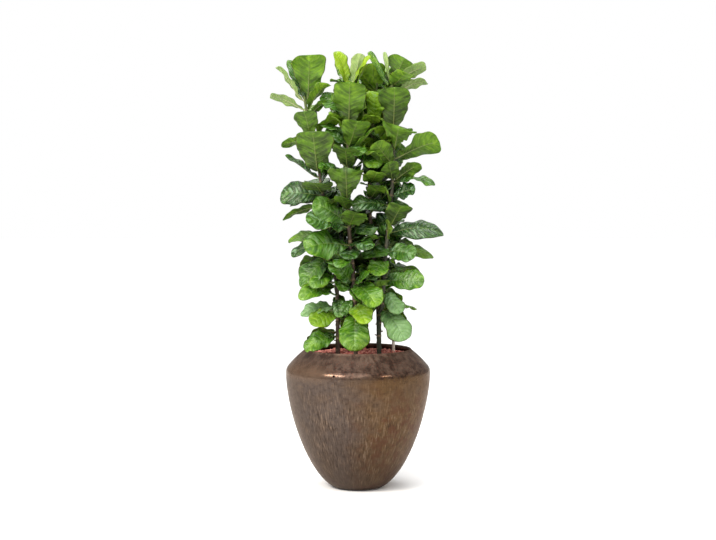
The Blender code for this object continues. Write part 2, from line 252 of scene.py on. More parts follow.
def bronze_glaze():
    """Reactive metallic glaze on stoneware. Half metal, with a satin gloss that the mottling varies, so it
    takes one sharp highlight on the tight shoulder and broad soft ones below. Drips are about 3 mm wide and
    25 mm long, mottles 12 mm, blots 30 mm, patches 90 mm. One pit and a few iron specks mark the shoulder."""
    made, tree, shader = new_finish("aged bronze glaze on stoneware", {
        "IOR": 1.5, "Specular Tint": linear("#c8b29c")})
    where = add(tree, "TexCoord").outputs["Object"]
    parts = add(tree, "SeparateXYZ", None, (where,))
    right, height = parts.outputs["X"], parts.outputs["Z"]
    flat = add(tree, "VectorMath", "MULTIPLY", (where, (1, 1, 0)))
    spoke = add(tree, "VectorMath", "NORMALIZE", (flat,))
    level = add(tree, "CombineXYZ", None, {"Z": height})
    # A point on a cylinder of 0.2 m radius, at the true height
    round_wall = add(tree, "VectorMath", "MULTIPLY_ADD", (spoke, (0.2, 0.2, 0), level))
    stretched = add(tree, "VectorMath", "MULTIPLY", (round_wall, (1, 1, 0.13)))
    drips, blots, patches, mottle, speckle = (
        add(tree, "TexNoise", None, {"Vector": at, "Scale": scale, "Detail": detail, "Roughness": roughness})
        for at, scale, detail, roughness in (
            (stretched, 300, 4, 0.5), (round_wall, 34, 5, 0.65), (round_wall, 11, 4, 0.6),
            (round_wall, 80, 6, 0.7), (round_wall, 420, 2, 0.5)))

    # Grey-mauve on one side, golden brown on the side that faced the flame
    flame = add(tree, "MapRange", SOFT_STEP, (right, -0.08, 0.1))
    golden = add(tree, "Math", "MULTIPLY_ADD", (patches, 1.6, -0.8))
    golden = add(tree, "Math", {"operation": "ADD", "use_clamp": True}, (golden, flame))
    base = add(tree, "Mix", COLOURS, {0: golden, 6: linear("#4a403b"), 7: linear("#523d27")})
    dark = add(tree, "MapRange", SOFT_STEP, (mottle, 0.5, 0.66, 0, 0.5))
    pale = add(tree, "MapRange", SOFT_STEP, (mottle, 0.46, 0.34, 0, 0.3))

    # Drips, strongest low down and where the glaze is thick, and rust beside the flame
    thick = add(tree, "MapRange", SOFT_STEP, (patches, 0.35, 0.6, 0.35, 1))
    low = add(tree, "MapRange", SOFT_STEP, (height, 0.39, 0.25, 0.25, 1))
    running = add(tree, "Math", "MULTIPLY", (thick, low))
    dark_drip = add(tree, "MapRange", SOFT_STEP, (drips, 0.52, 0.64, 0, 0.7))
    dark_drip = add(tree, "Math", "MULTIPLY", (dark_drip, running))
    pale_drip = add(tree, "MapRange", SOFT_STEP, (drips, 0.46, 0.35, 0, 0.5))
    pale_drip = add(tree, "Math", "MULTIPLY", (pale_drip, running))
    rust = add(tree, "MapRange", SOFT_STEP, (blots, 0.48, 0.62, 0, 0.75))
    rust = add(tree, "Math", "MULTIPLY", (rust, flame))
    rust = add(tree, "Math", "MULTIPLY", (rust, low))

    # The shoulder and collar, where the glaze pooled dark and red-brown, with iron specks
    ragged = add(tree, "Math", "MULTIPLY_ADD", (mottle, 0.06, height))
    pooled = add(tree, "MapRange", SOFT_STEP, (ragged, 0.425, 0.446, 0, 0.9))
    pool_tone = add(tree, "Math", "ADD", (mottle, blots))
    pool_tone = add(tree, "MapRange", SOFT_STEP, (pool_tone, 0.82, 1.18))
    pool = add(tree, "Mix", COLOURS, {0: pool_tone, 6: linear("#5c4b41"), 7: linear("#2a1f1b")})
    iron = add(tree, "MapRange", SOFT_STEP, (speckle, 0.56, 0.68, 0, 0.7))
    pool = add(tree, "Mix", COLOURS, {0: iron, 6: pool, 7: linear("#6a3a2a")})
    # Painted light: a warm, lighter glow painted along the shoulder on the left, the side away from the
    # flame, around the front-left lamp's highlight
    painted_glow = add(tree, "MapRange", SOFT_STEP, (right, -0.06, -0.16, 0, 0.42))
    band = add(tree, "Math", "SUBTRACT", (height, 0.418))
    band = add(tree, "Math", "ABSOLUTE", (band,))
    band = add(tree, "MapRange", SOFT_STEP, (band, 0.048, 0))
    painted_glow = add(tree, "Math", "MULTIPLY", (painted_glow, band))
    # Painted shade: the body is made darker low down on the left side, and darker towards the foot
    painted_shade_left = add(tree, "MapRange", SOFT_STEP, (right, -0.08, -0.23, 0, 0.45))
    painted_shade_left = add(tree, "Math", "MULTIPLY", (painted_shade_left, low))
    # painted shade, darker towards the foot
    foot = add(tree, "MapRange", None, (height, 0.27, 0, 0, 0.58))

    # Pit and specks: one where a point is nearer than its own small radius
    marks = None
    for place, radius in ((PIT_AT, PIT_RADIUS), *((speck, SPECK_RADIUS) for speck in SPECKS_AT)):
        away = add(tree, "VectorMath", "DISTANCE", (where, place)).outputs["Value"]
        mark = add(tree, "MapRange", SOFT_STEP, (away, radius, radius * 0.6))
        marks = add(tree, "Math", "MAXIMUM", (mark, marks)) if marks else mark
    for share, paint in (
            (dark, linear("#261b15")), (pale, linear("#6d5743")), (dark_drip, linear("#20160f")),
            (pale_drip, linear("#867260")), (rust, linear("#46281a")), (pooled, pool),
            (painted_glow, linear("#7c624c")), (painted_shade_left, linear("#2c2523")), (foot, linear("#2b2019")),
            (marks, linear("#1c0d09"))):
        base = add(tree, "Mix", COLOURS, {0: share, 6: base, 7: paint})

    # Smoothest where the shoulder was rubbed; the lip, the pit and the specks are dull
    gloss = add(tree, "MapRange", None, (mottle, 0.3, 0.7, 0.3, 0.46))
    gloss = add(tree, "Math", "MULTIPLY_ADD", (band, -0.2, gloss))
    lip = add(tree, "MapRange", SOFT_STEP, (height, 0.466, 0.476, 0, 0.62))
    for dull in (lip, marks):
        gloss = add(tree, "Math", "MAXIMUM", (gloss, dull))
    metal = add(tree, "MapRange", None, (marks, 0, 1, 0.5, 1))
    relief = add(tree, "Math", "MULTIPLY_ADD", (drips, running, mottle))
    relief = add(tree, "Math", "SUBTRACT", (relief, marks))
    bump = add(tree, "Bump", None, {"Strength": 0.3, "Distance": 0.0008, "Height": relief})
    wire(tree, shader, {"Base Color": base, "Roughness": gloss, "Metallic": metal, "Normal": bump})
    return made


# %% Planter
RIPPLE = 0.2


def planter_rings():
    """The outline turned round the axis: foot, outside, rounded lip, inside. A slow ripple of under half a
    millimetre, a sum of three sines of the angle and height, takes away the look of a machined part."""
    radius, height = outside_line()
    foot_radius = np.array([20, 60, FOOT_RADIUS - 6, FOOT_RADIUS - 1.5])
    foot_height = np.array([0, 0, 0, 0.4])
    mouth = RIM_HEIGHT - WALL / 2
    inner = inside_line(mouth)
    lip_turn = np.linspace(0, math.pi, 12)[1:-1]
    outer = radius[-1]
    lip_radius = (outer + inner) / 2 + (outer - inner) / 2 * np.cos(lip_turn)
    lip_base = height[-1] + (mouth - height[-1]) * (1 - np.cos(lip_turn)) / 2
    lip_height = lip_base + (RIM_HEIGHT - (height[-1] + mouth) / 2) * np.sin(lip_turn) ** 0.8
    levels = np.concatenate([np.linspace(mouth, GRANULE_LEVEL - 30, 14),
                             np.linspace(GRANULE_LEVEL - 40, FLOOR, 20)])
    radii = np.concatenate([foot_radius, radius, lip_radius, inside_line(levels)])
    heights = np.concatenate([foot_height, height, lip_height, levels])
    rings = turned(radii, heights)
    angle = np.arctan2(rings[..., 1], rings[..., 0])
    up = rings[..., 2] / MM
    ripple = (np.sin(3 * angle + up / 60) + 0.6 * np.sin(7 * angle - up / 35)
              + 0.4 * np.sin(13 * angle + up / 22))
    share = np.clip(up / 60, 0, 1) * RIPPLE * MM
    rings[..., :2] += unit(rings[..., :2]) * (ripple * share)[..., None]
    return rings


rings = planter_rings()
planter_tube = (*tube(rings, (0, 0, 0), (0, 0, FLOOR * MM)), 0)
planter = make_piece("glazed_planter", [planter_tube], [bronze_glaze()])
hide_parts("planter")
print("planter:", triangle_count(planter), "triangles")

# %% [markdown]
# ## The clay granules
# The plant stands in hydroculture: no soil, but balls of fired clay 8 to 14 mm across, pink to brick red,
# with a dry pitted skin. Only the top layer shows. A bumpy plane would look like gravel from far away but
# false at the rim, so each granule is a small body of its own, with few faces because there are many of
# them. They lie on a jittered triangular grid over a dark bed, which fills the disc without a search for
# free places.

# %% Fired clay
def fired_clay():
    """Expanded clay, tumbled in a rotary kiln: dull, rough and full of pores, from dusty pink to brick
    red. Each granule brings its own tone, and 2 mm noise gives the pores."""
    made, tree, shader = new_finish("expanded clay, fired", {"Roughness": 0.92})
    where = add(tree, "TexCoord").outputs["Object"]
    tone = add(tree, "Attribute", {"attribute_name": "tone"}).outputs["Fac"]
    pores = add(tree, "TexNoise", None, {"Vector": where, "Scale": 500, "Detail": 3, "Roughness": 0.6})
    base = add(tree, "Mix", COLOURS, {0: tone, 6: linear("#8f4038"), 7: linear("#d08a7e")})
    dust = add(tree, "MapRange", SOFT_STEP, (pores, 0.5, 0.66, 0, 0.45))
    base = add(tree, "Mix", COLOURS, {0: dust, 6: base, 7: linear("#5a2a24")})
    bump = add(tree, "Bump", None, {"Strength": 0.6, "Distance": 0.001, "Height": pores})
    wire(tree, shader, {"Base Color": base, "Normal": bump})
    return made


# %% Bed and granules
GRANULE_SPACING = 11.0
GRANULE_RINGS = 5
GRANULE_SIDES = 7
chance = np.random.default_rng(11)

# A triangular grid of places, pushed about at random, inside the wall
columns, rows = np.meshgrid(np.arange(-18, 19), np.arange(-20, 21))
grid = np.stack([(columns + rows % 2 / 2) * GRANULE_SPACING, rows * GRANULE_SPACING * math.sqrt(3) / 2], -1)
places = grid.reshape(-1, 2) + chance.uniform(-2.2, 2.2, (grid.size // 2, 2))
bed_radius = inside_line(GRANULE_LEVEL) - 7.5
places = places[np.hypot(*places.T) < bed_radius]
count = len(places)
radius = chance.uniform(4.6, 7.2, count)
centre = np.column_stack([places, GRANULE_LEVEL - radius * 0.85 - chance.uniform(0, 5, count)])
stretch = chance.uniform(0.8, 1.15, (count, 3)) * radius[:, None]
spin = chance.uniform(0, 2 * math.pi, count)

# Five rings of a ball between its poles, stretched, spun and placed for every granule at once
fall = (np.linspace(-1, 1, GRANULE_RINGS) * 0.36 * math.pi)[:, None]
turn = even_turns(GRANULE_SIDES)
ball = np.stack(np.broadcast_arrays(
    np.cos(fall) * np.cos(turn), np.cos(fall) * np.sin(turn), np.sin(fall)), -1).reshape(-1, 3)
ball = np.concatenate([ball, [[0, 0, -1], [0, 0, 1]]])
lumps = 1 + chance.uniform(-0.1, 0.1, (count, len(ball), 1))
shaped = ball * lumps * stretch[:, None]
across = np.cos(spin)[:, None] * shaped[..., 0] - np.sin(spin)[:, None] * shaped[..., 1]
along = np.sin(spin)[:, None] * shaped[..., 0] + np.cos(spin)[:, None] * shaped[..., 1]
points = (np.stack([across, along, shaped[..., 2]], -1) + centre[:, None]) * MM
_, quads, fans = tube(np.zeros((GRANULE_RINGS, GRANULE_SIDES, 3)), (0, 0, 0), (0, 0, 0))
offset = np.arange(count)[:, None, None] * len(ball)
granule_tubes = (points.reshape(-1, 3), (quads + offset).reshape(-1, 4), (fans + offset).reshape(-1, 3), 0)

# The bed: a disc that sags a little below the granules and closes at the planter's floor
bed_bottom, bed_top = FLOOR + 0.6, GRANULE_LEVEL - 9
bed_levels = np.array([bed_bottom, 120, 240, 360, bed_top - 7, bed_top])
bed_radii = inside_line(bed_levels) - 0.4
bed_rings = turned([*bed_radii, bed_radii[-1] * 0.6, 20], [*bed_levels, bed_top, bed_top], steps=96)
bed_tube = (*tube(bed_rings, (0, 0, bed_bottom * MM), (0, 0, bed_top * MM)), 0)
tones = np.concatenate([np.zeros(len(bed_tube[0])), np.repeat(chance.uniform(0, 1, count), len(ball))])
granules = make_piece("clay_granule_fill", [bed_tube, granule_tubes], [fired_clay()], {"tone": tones})
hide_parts("clay_granules")
print(count, "granules,", triangle_count(granules), "triangles")

# %% [markdown]
# ## The water gauge
# A hydroculture planter has a float in a tube that shows how much water is left. From outside it is a
# white moulded tube with a round cap. Both are turned shapes. What sells them is small: a bevelled edge,
# a groove under the cap and a plastic that is not quite white.

# %% White plastic and the gauge
GAUGE_AT = (125, 90)
GAUGE_BOTTOM = GRANULE_LEVEL - 120
GAUGE_TOP = 545
GAUGE_SIDES = 32
CAP_RADIUS = 7.5
CAP_HEIGHT = 12
CAP_EDGE = 3  # mm that the cap's upper edge is rounded
CAP_GAP = 0.3  # mm between tube and cap, for the groove


def white_plastic():
    """Injection-moulded polystyrene: off-white, smooth, with a faint 10 mm cloudiness from the melt."""
    made, tree, shader = new_finish("polystyrene, white moulded", {"Roughness": 0.35, "IOR": 1.59})
    where = add(tree, "TexCoord").outputs["Object"]
    cloud = add(tree, "TexNoise", None, {"Vector": where, "Scale": 100, "Detail": 2})
    base = add(tree, "Mix", COLOURS, {0: cloud, 6: linear("#f1ece4"), 7: linear("#ddd2c4")})
    wire(tree, shader, {"Base Color": base})
    return made


plastic = white_plastic()
tube_radii = [4.2, 5.1, 5.5, 5.5, 5.5, 5.5, 5.2, 5.2, 5.5, 5.5]
tube_levels = np.array([0, 0.3, 1.2, 60, 120, 190, 190.6, 193.4, 194, 199.6]) + GAUGE_BOTTOM
edge = np.linspace(0, math.pi / 2, 7)[1:]
cap_radii = np.concatenate([[6.4, 7.2, CAP_RADIUS], CAP_RADIUS - CAP_EDGE + CAP_EDGE * np.cos(edge), [2.5]])
cap_levels = np.concatenate([[0, 0.2, 0.9], CAP_HEIGHT - CAP_EDGE + CAP_EDGE * np.sin(edge), [CAP_HEIGHT]])
for name, radii, levels, bottom, top in (
        ("water_gauge_tube", tube_radii, tube_levels, GAUGE_BOTTOM, GAUGE_TOP - 0.4),
        ("water_gauge_cap", cap_radii, cap_levels + GAUGE_TOP + CAP_GAP, GAUGE_TOP + CAP_GAP,
         GAUGE_TOP + CAP_GAP + CAP_HEIGHT)):
    poles = np.array([[*GAUGE_AT, bottom], [*GAUGE_AT, top]]) * MM
    part = (*tube(turned(radii, levels, GAUGE_AT, GAUGE_SIDES), *poles), 0)
    fine = make_piece(name + "_moulded", [part], [plastic])
    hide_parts(name)
    print(name, triangle_count(fine), "triangles")

# %% [markdown]
# ## The stems
# Four stems stand in the granules. A fiddle leaf fig's stem is green when young and turns brown and corky
# from below. Each leaf leaves a pale crescent scar and a slight knee where it sat, 15 to 30 mm apart, so a
# plain pipe looks wrong at once. A curve with a bevel could carry the line, but not the knees. Here rings
# follow a smooth curve through listed points, and the ring radius swells at each knee.

# %% Stem sizes and lines
# Each stem: its radius at the granules and near its top, and the points that it passes, in millimetres
# (right of centre, behind centre, height).
STEMS = {
    "left_stem": (7.5, 4.5, [
        (-70, -10, 405), (-70, -10, 490), (-70, -10, 600), (-74, -10, 700), (-88, -12, 800), (-104, -14, 900),
        (-119, -16, 1000), (-134, -18, 1100), (-152, -20, 1200), (-176, -20, 1300), (-184, -20, 1352),
    ]),
    "middle_stem": (8.0, 4.5, [
        (-8, -35, 405), (-8, -35, 490), (-12, -35, 640), (-18, -35, 760), (-28, -35, 860), (-36, -35, 1000),
        (-36, -35, 1100), (-34, -35, 1200), (-30, -35, 1300), (-26, -35, 1402),
    ]),
    "rear_stem": (7.0, 4.5, [
        (72, 38, 405), (72, 38, 490), (70, 38, 600), (63, 36, 700), (54, 34, 800), (45, 30, 900),
        (40, 30, 1000), (40, 30, 1090), (48, 30, 1200), (58, 30, 1300), (66, 30, 1400),
    ]),
    "right_stem": (7.8, 4.5, [
        (73, -5, 405), (73, -5, 490), (75, -5, 580), (84, -5, 640), (88, -5, 730), (98, -5, 830),
        (108, -5, 930), (118, -5, 1050), (122, -5, 1150), (120, -5, 1260), (116, -5, 1405),
    ]),
}


def through(at, knots, values):
    """Smooth curve through the knots: between two of them a cubic, whose slope at each knot is that
    between the knot's neighbours."""
    slopes = np.gradient(values, knots, axis=0)
    i = np.clip(np.searchsorted(knots, at, side="right") - 1, 0, len(knots) - 2)
    step = (knots[i + 1] - knots[i])[:, None]
    s = (at - knots[i])[:, None] / step
    return (
        (2 * s**3 - 3 * s**2 + 1) * values[i] + (s**3 - 2 * s**2 + s) * step * slopes[i]
        + (3 * s**2 - 2 * s**3) * values[i + 1] + (s**3 - s**2) * step * slopes[i + 1]
    )


def stem_centre(stem, heights):
    """Points on a stem's middle line (mm) at these heights."""
    knots = np.array(STEMS[stem][2], float)
    heights = np.atleast_1d(np.asarray(heights, float))
    return np.column_stack([through(heights, knots[:, 2], knots[:, :2]), heights])


def stem_radius(stem, heights):
    """Even taper (mm) from the granules to the top."""
    thick, thin, knots = STEMS[stem]
    return np.interp(heights, [GRANULE_LEVEL, knots[-1][2]], [thick, thin])


# %% [markdown]
# The bark's colour follows age: dull brown with pale corky specks low down, brown-olive in the middle, and
# green in the last hand's breadth. Height is age here, so the finish reads the height.

# %% Bark
def fig_bark(name, old, middle, young):
    """Young smooth bark, matt, with fine lengthwise cracks about 1.5 mm apart and pale pores. Three
    colours: near the granules, half way, and at the growing tip."""
    made, tree, shader = new_finish(name, {"Roughness": 0.72})
    where = add(tree, "TexCoord").outputs["Object"]
    scar = add(tree, "Attribute", {"attribute_name": "scar"}).outputs["Fac"]
    height = add(tree, "SeparateXYZ", None, (where,)).outputs["Z"]
    stretched = add(tree, "VectorMath", "MULTIPLY", (where, (1, 1, 0.15)))
    cracks = add(tree, "TexNoise", None, {"Vector": stretched, "Scale": 700, "Detail": 4, "Roughness": 0.7})
    blotch = add(tree, "TexNoise", None, {"Vector": where, "Scale": 60, "Detail": 3})
    low = add(tree, "MapRange", SOFT_STEP, (height, 0.5, 0.95))
    high = add(tree, "MapRange", SOFT_STEP, (height, 1.1, 1.36))
    pale = add(tree, "MapRange", SOFT_STEP, (cracks, 0.52, 0.72, 0, 0.5))
    dark = add(tree, "MapRange", SOFT_STEP, (blotch, 0.5, 0.7, 0, 0.6))
    base = linear(old)
    for share, colour in (
            (low, middle), (high, young), (pale, "#8c7d68"), (dark, "#231c14"), (scar, "#9a8566")):
        base = add(tree, "Mix", COLOURS, {0: share, 6: base, 7: linear(colour)})
    bump = add(tree, "Bump", None, {"Strength": 0.6, "Distance": 0.0006, "Height": cracks})
    wire(tree, shader, {"Base Color": base, "Normal": bump})
    return made


# %% Stems
STEM_SIDES = 24
STEM_STEP = 4.0  # mm between rings
KNEE_FROM = 455  # mm, just under the granules
KNEE_SPACING = (17, 30)
KNEE_LENGTH = 3.2  # mm in which a knee swells and fades
SCAR_LENGTH = 2.6
BUD_LENGTH = 16
brown_bark = fig_bark("fig bark, brown", "#43342a", "#35291c", "#4c5c26")
dark_bark = fig_bark("fig bark, green-black", "#343c2c", "#2c2e20", "#4c5c26")


def stem_tube(stem, seed):
    """Rings square to the stem's line. The radius is the taper times one plus a narrow bell at each knee,
    and the line steps aside by under a millimetre there. Also gives each point's share of scar colour."""
    chance = np.random.default_rng(seed)
    bottom, top = STEMS[stem][2][0][2], STEMS[stem][2][-1][2]
    heights = np.arange(bottom, top, STEM_STEP)
    knees = np.cumsum(chance.uniform(*KNEE_SPACING, 60)) + KNEE_FROM
    knees = knees[knees < top - 20]
    bell = np.exp(-(((heights[:, None] - knees) / KNEE_LENGTH) ** 2))
    side = np.arange(len(knees)) * 2.4 + chance.uniform(-0.4, 0.4, len(knees))
    lean = np.column_stack([np.cos(side), np.sin(side)])
    centre = stem_centre(stem, heights)
    centre[:, :2] += bell @ lean * 0.8
    ahead = unit(np.gradient(stem_centre(stem, heights), axis=0))
    across = unit(np.cross(ahead, [0, 1, 0]))
    over = np.cross(ahead, across)
    turn = even_turns(STEM_SIDES)
    radius = stem_radius(stem, heights)[:, None] * (1 + 0.13 * bell.sum(1)[:, None])
    radius = radius * (1 + 0.03 * np.sin(3 * turn + heights[:, None] / 40))
    closing = np.clip((top - heights) / BUD_LENGTH, 0, 1)[:, None] ** 0.5
    rings = centre[:, None] + spokes(across, over, turn) * (radius * closing)[..., None]
    facing = np.cos(turn[None, :, None] + side)
    near = np.exp(-(((heights[:, None, None] - knees) / SCAR_LENGTH) ** 2))
    scar = (near * np.clip(facing, 0, 1)).max(-1)
    scar *= (0.75 * np.clip((1280 - heights) / 300, 0, 1))[:, None]
    points, quads, fans = tube(rings * MM, centre[0] * MM, (centre[-1] + ahead[-1]) * MM)
    return (points, quads, fans, 0), np.append(scar.ravel(), [0, 0])


# %% Stumps, and the finished stems
# Stumps of petioles: height, and the angle round the stem from the right towards the back
STUMPS = {
    "left_stem": ((506, 3.5), (531, 0.4), (570, 2.2)), "middle_stem": ((512, 0.3), (575, 3.0)),
    "rear_stem": ((520, 3.4), (566, 0.9)), "right_stem": ((537, -0.3), (560, 2.7), (604, -0.8)),
}
STUMP_LENGTH = 9
STUMP_RADIUS = 3
STUMP_SIDES = 10


def stump_tube(stem, height, turn):
    """What is left where a leaf fell: a cone 9 mm long that leaves the stem a little upwards. Its radius
    falls from 3 mm by a third, and rounds off at the end."""
    share = np.linspace(0, 1, 8)
    ahead = unit(np.array([math.cos(turn), math.sin(turn), 0.35]))
    across = unit(np.cross(ahead, [0, 0, 1]))
    over = np.cross(ahead, across)
    centre = stem_centre(stem, height) + (share * (stem_radius(stem, height) + STUMP_LENGTH))[:, None] * ahead
    radius = STUMP_RADIUS * (1 - share / 3) * (1 - share**12) ** 0.5
    rings = centre[:-1, None] + spokes(across, over, even_turns(STUMP_SIDES)) * radius[:-1, None, None]
    part = (*tube(rings * MM, centre[0] * MM, centre[-1] * MM), 0)
    return part, np.append(np.repeat(share[:-1], STUMP_SIDES), [0, 1])


for number, stem in enumerate(STEMS):
    bark = dark_bark if stem == "right_stem" else brown_bark
    made = [stem_tube(stem, 20 + number)] + [stump_tube(stem, *place) for place in STUMPS[stem]]
    scar = np.concatenate([found for _, found in made])
    fine = make_piece(stem + "_bark", [part for part, _ in made], [bark], {"scar": scar})
    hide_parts(stem)
    print(stem, triangle_count(fine), "triangles")

# %% [markdown]
# ## A fig leaf
# A fiddle leaf is a leathery blade on a short thick petiole. It is blunt or notched at its end, often
# narrower behind the middle, and two lobes reach back past the petiole. Six or seven pairs of side veins
# sweep forward from a strong midrib. The blade bulges up between them, its margin waves like a ruffle and
# its tip rolls back. Sculpting would give one good leaf; cloth would crumple it like paper. The surface
# below is worked out in the order that a leaf grows: midrib first, then the outline, then the fold, the
# bulges and the waves, and last the thickness.

# %% Leaf sizes
PETIOLE_SHARE = 0.14  # of the way from stem to tip
LEAF_THICKNESS = 0.9
VEIN_SPACING = 15.0
VEIN_SWEEP = 0.17  # how far forward a side vein reaches at the margin, as a share of the blade
GROOVE = 1.2  # mm that the midrib lies below its sides
SPINE_STEPS = 40
CHART_VEINS = 16  # side veins that a chart of width 1 has room for

# Blade outlines: the half-width goes as u^foot * (1 - u^tip)^fullness less a waist a third of the way
# along. Then come shares of the length: how far the lobes reach back past the foot, and how deep the tip
# is notched. The last number is how far the blade rises between side veins, in mm.
BLADES = {
    "oval": (0.55, 3.2, 0.5, 0.0, 0.07, 0.0, 1.0),
    "round": (0.5, 3.8, 0.48, 0.0, 0.09, 0.01, 1.0),
    "fiddle": (0.55, 8.0, 0.4, 0.07, 0.05, 0.04, 0.7),
    "wedge": (0.95, 9.0, 0.38, 0.05, 0.02, 0.05, 0.5),
    "notched": (1.3, 12.0, 0.36, 0.0, 0.0, 0.32, 0.5),
    "young": (0.5, 5.0, 0.45, 0.0, 0.0, 0.0, 0.5),
}


# %% The midrib's line
def cubic(start, pull_out, pull_over, end, t):
    """Points and slopes of a cubic curve with these four control points, at an array of shares t."""
    t = t[..., None]
    left = 1 - t
    place = left**3 * start + 3 * t * left**2 * pull_out + 3 * t**2 * left * pull_over + t**3 * end
    slope = 3 * (left**2 * (pull_out - start) + 2 * t * left * (pull_over - pull_out)
                 + t**2 * (end - pull_over))
    return place, slope


def leaf_spine(stem, height, reach, face, arch, curl):
    """A leaf's midrib as places with unit directions along, across and over it, and its length. It leaves
    the stem outwards and a little up and arches to its tip. Past the middle it also rolls back by an angle
    that grows as a power of the way, to curl degrees at the tip. Reach and face are (right, front, up)."""
    reach, face = (np.array([right, -front, up], float) for right, front, up in (reach, face))
    foot = stem_centre(stem, [height - 1, height, height + 1])
    grain = unit(foot[2] - foot[0])
    out = np.array([reach[0], reach[1], 0])
    out = unit(out - grain * (out @ grain))
    start = foot[1] + out * (stem_radius(stem, height) - 1)
    length = np.linalg.norm(reach)
    along = reach / length
    up = unit(face - along * (face @ along))
    pull_out = start + unit(out + [0, 0, 0.35]) * 0.13 * length
    pull_over = start + along * 0.55 * length + up * arch * 1.35 * length
    t = np.linspace(0, 1, SPINE_STEPS + 1)
    place, slope = cubic(start, pull_out, pull_over, start + reach, t)
    ahead = unit(slope)
    side = np.cross(up, along)
    across = unit(side - ahead * (ahead @ side)[:, None])
    over = np.cross(ahead, across)
    bend = np.radians(curl) * (np.clip((t - 0.5) / 0.5, 0, 1) ** 1.6)[:, None]
    ahead, over = ahead * np.cos(bend) - over * np.sin(bend), over * np.cos(bend) + ahead * np.sin(bend)
    speed = np.linalg.norm(slope, axis=1, keepdims=True)
    step = (ahead * speed)[1:] + (ahead * speed)[:-1]
    place = np.concatenate([place[:1], place[0] + np.cumsum(step, axis=0) / (2 * SPINE_STEPS)])
    return np.concatenate([place, ahead, across, over], axis=1), length


def read_spine(table, t):
    """The midrib's places and three directions at shares t, read off between the steps."""
    steps = np.linspace(0, 1, SPINE_STEPS + 1)
    return np.split(np.stack([np.interp(t, steps, column) for column in table.T], -1), 4, axis=-1)


def on_spine(spine, t):
    """Place, and directions along, across and over the leaf, at shares t. Past the blade's foot and past its
    tip the midrib runs straight on."""
    table, length = spine
    held = np.clip(t, PETIOLE_SHARE, 1)
    place, ahead, across, over = read_spine(table, held)
    return place + ahead * ((t - held) * length)[..., None], unit(ahead), unit(across), unit(over)


# %% The blade
SOFTNESS = 0.25  # of the half-width, that the fold's V is rounded at the midrib


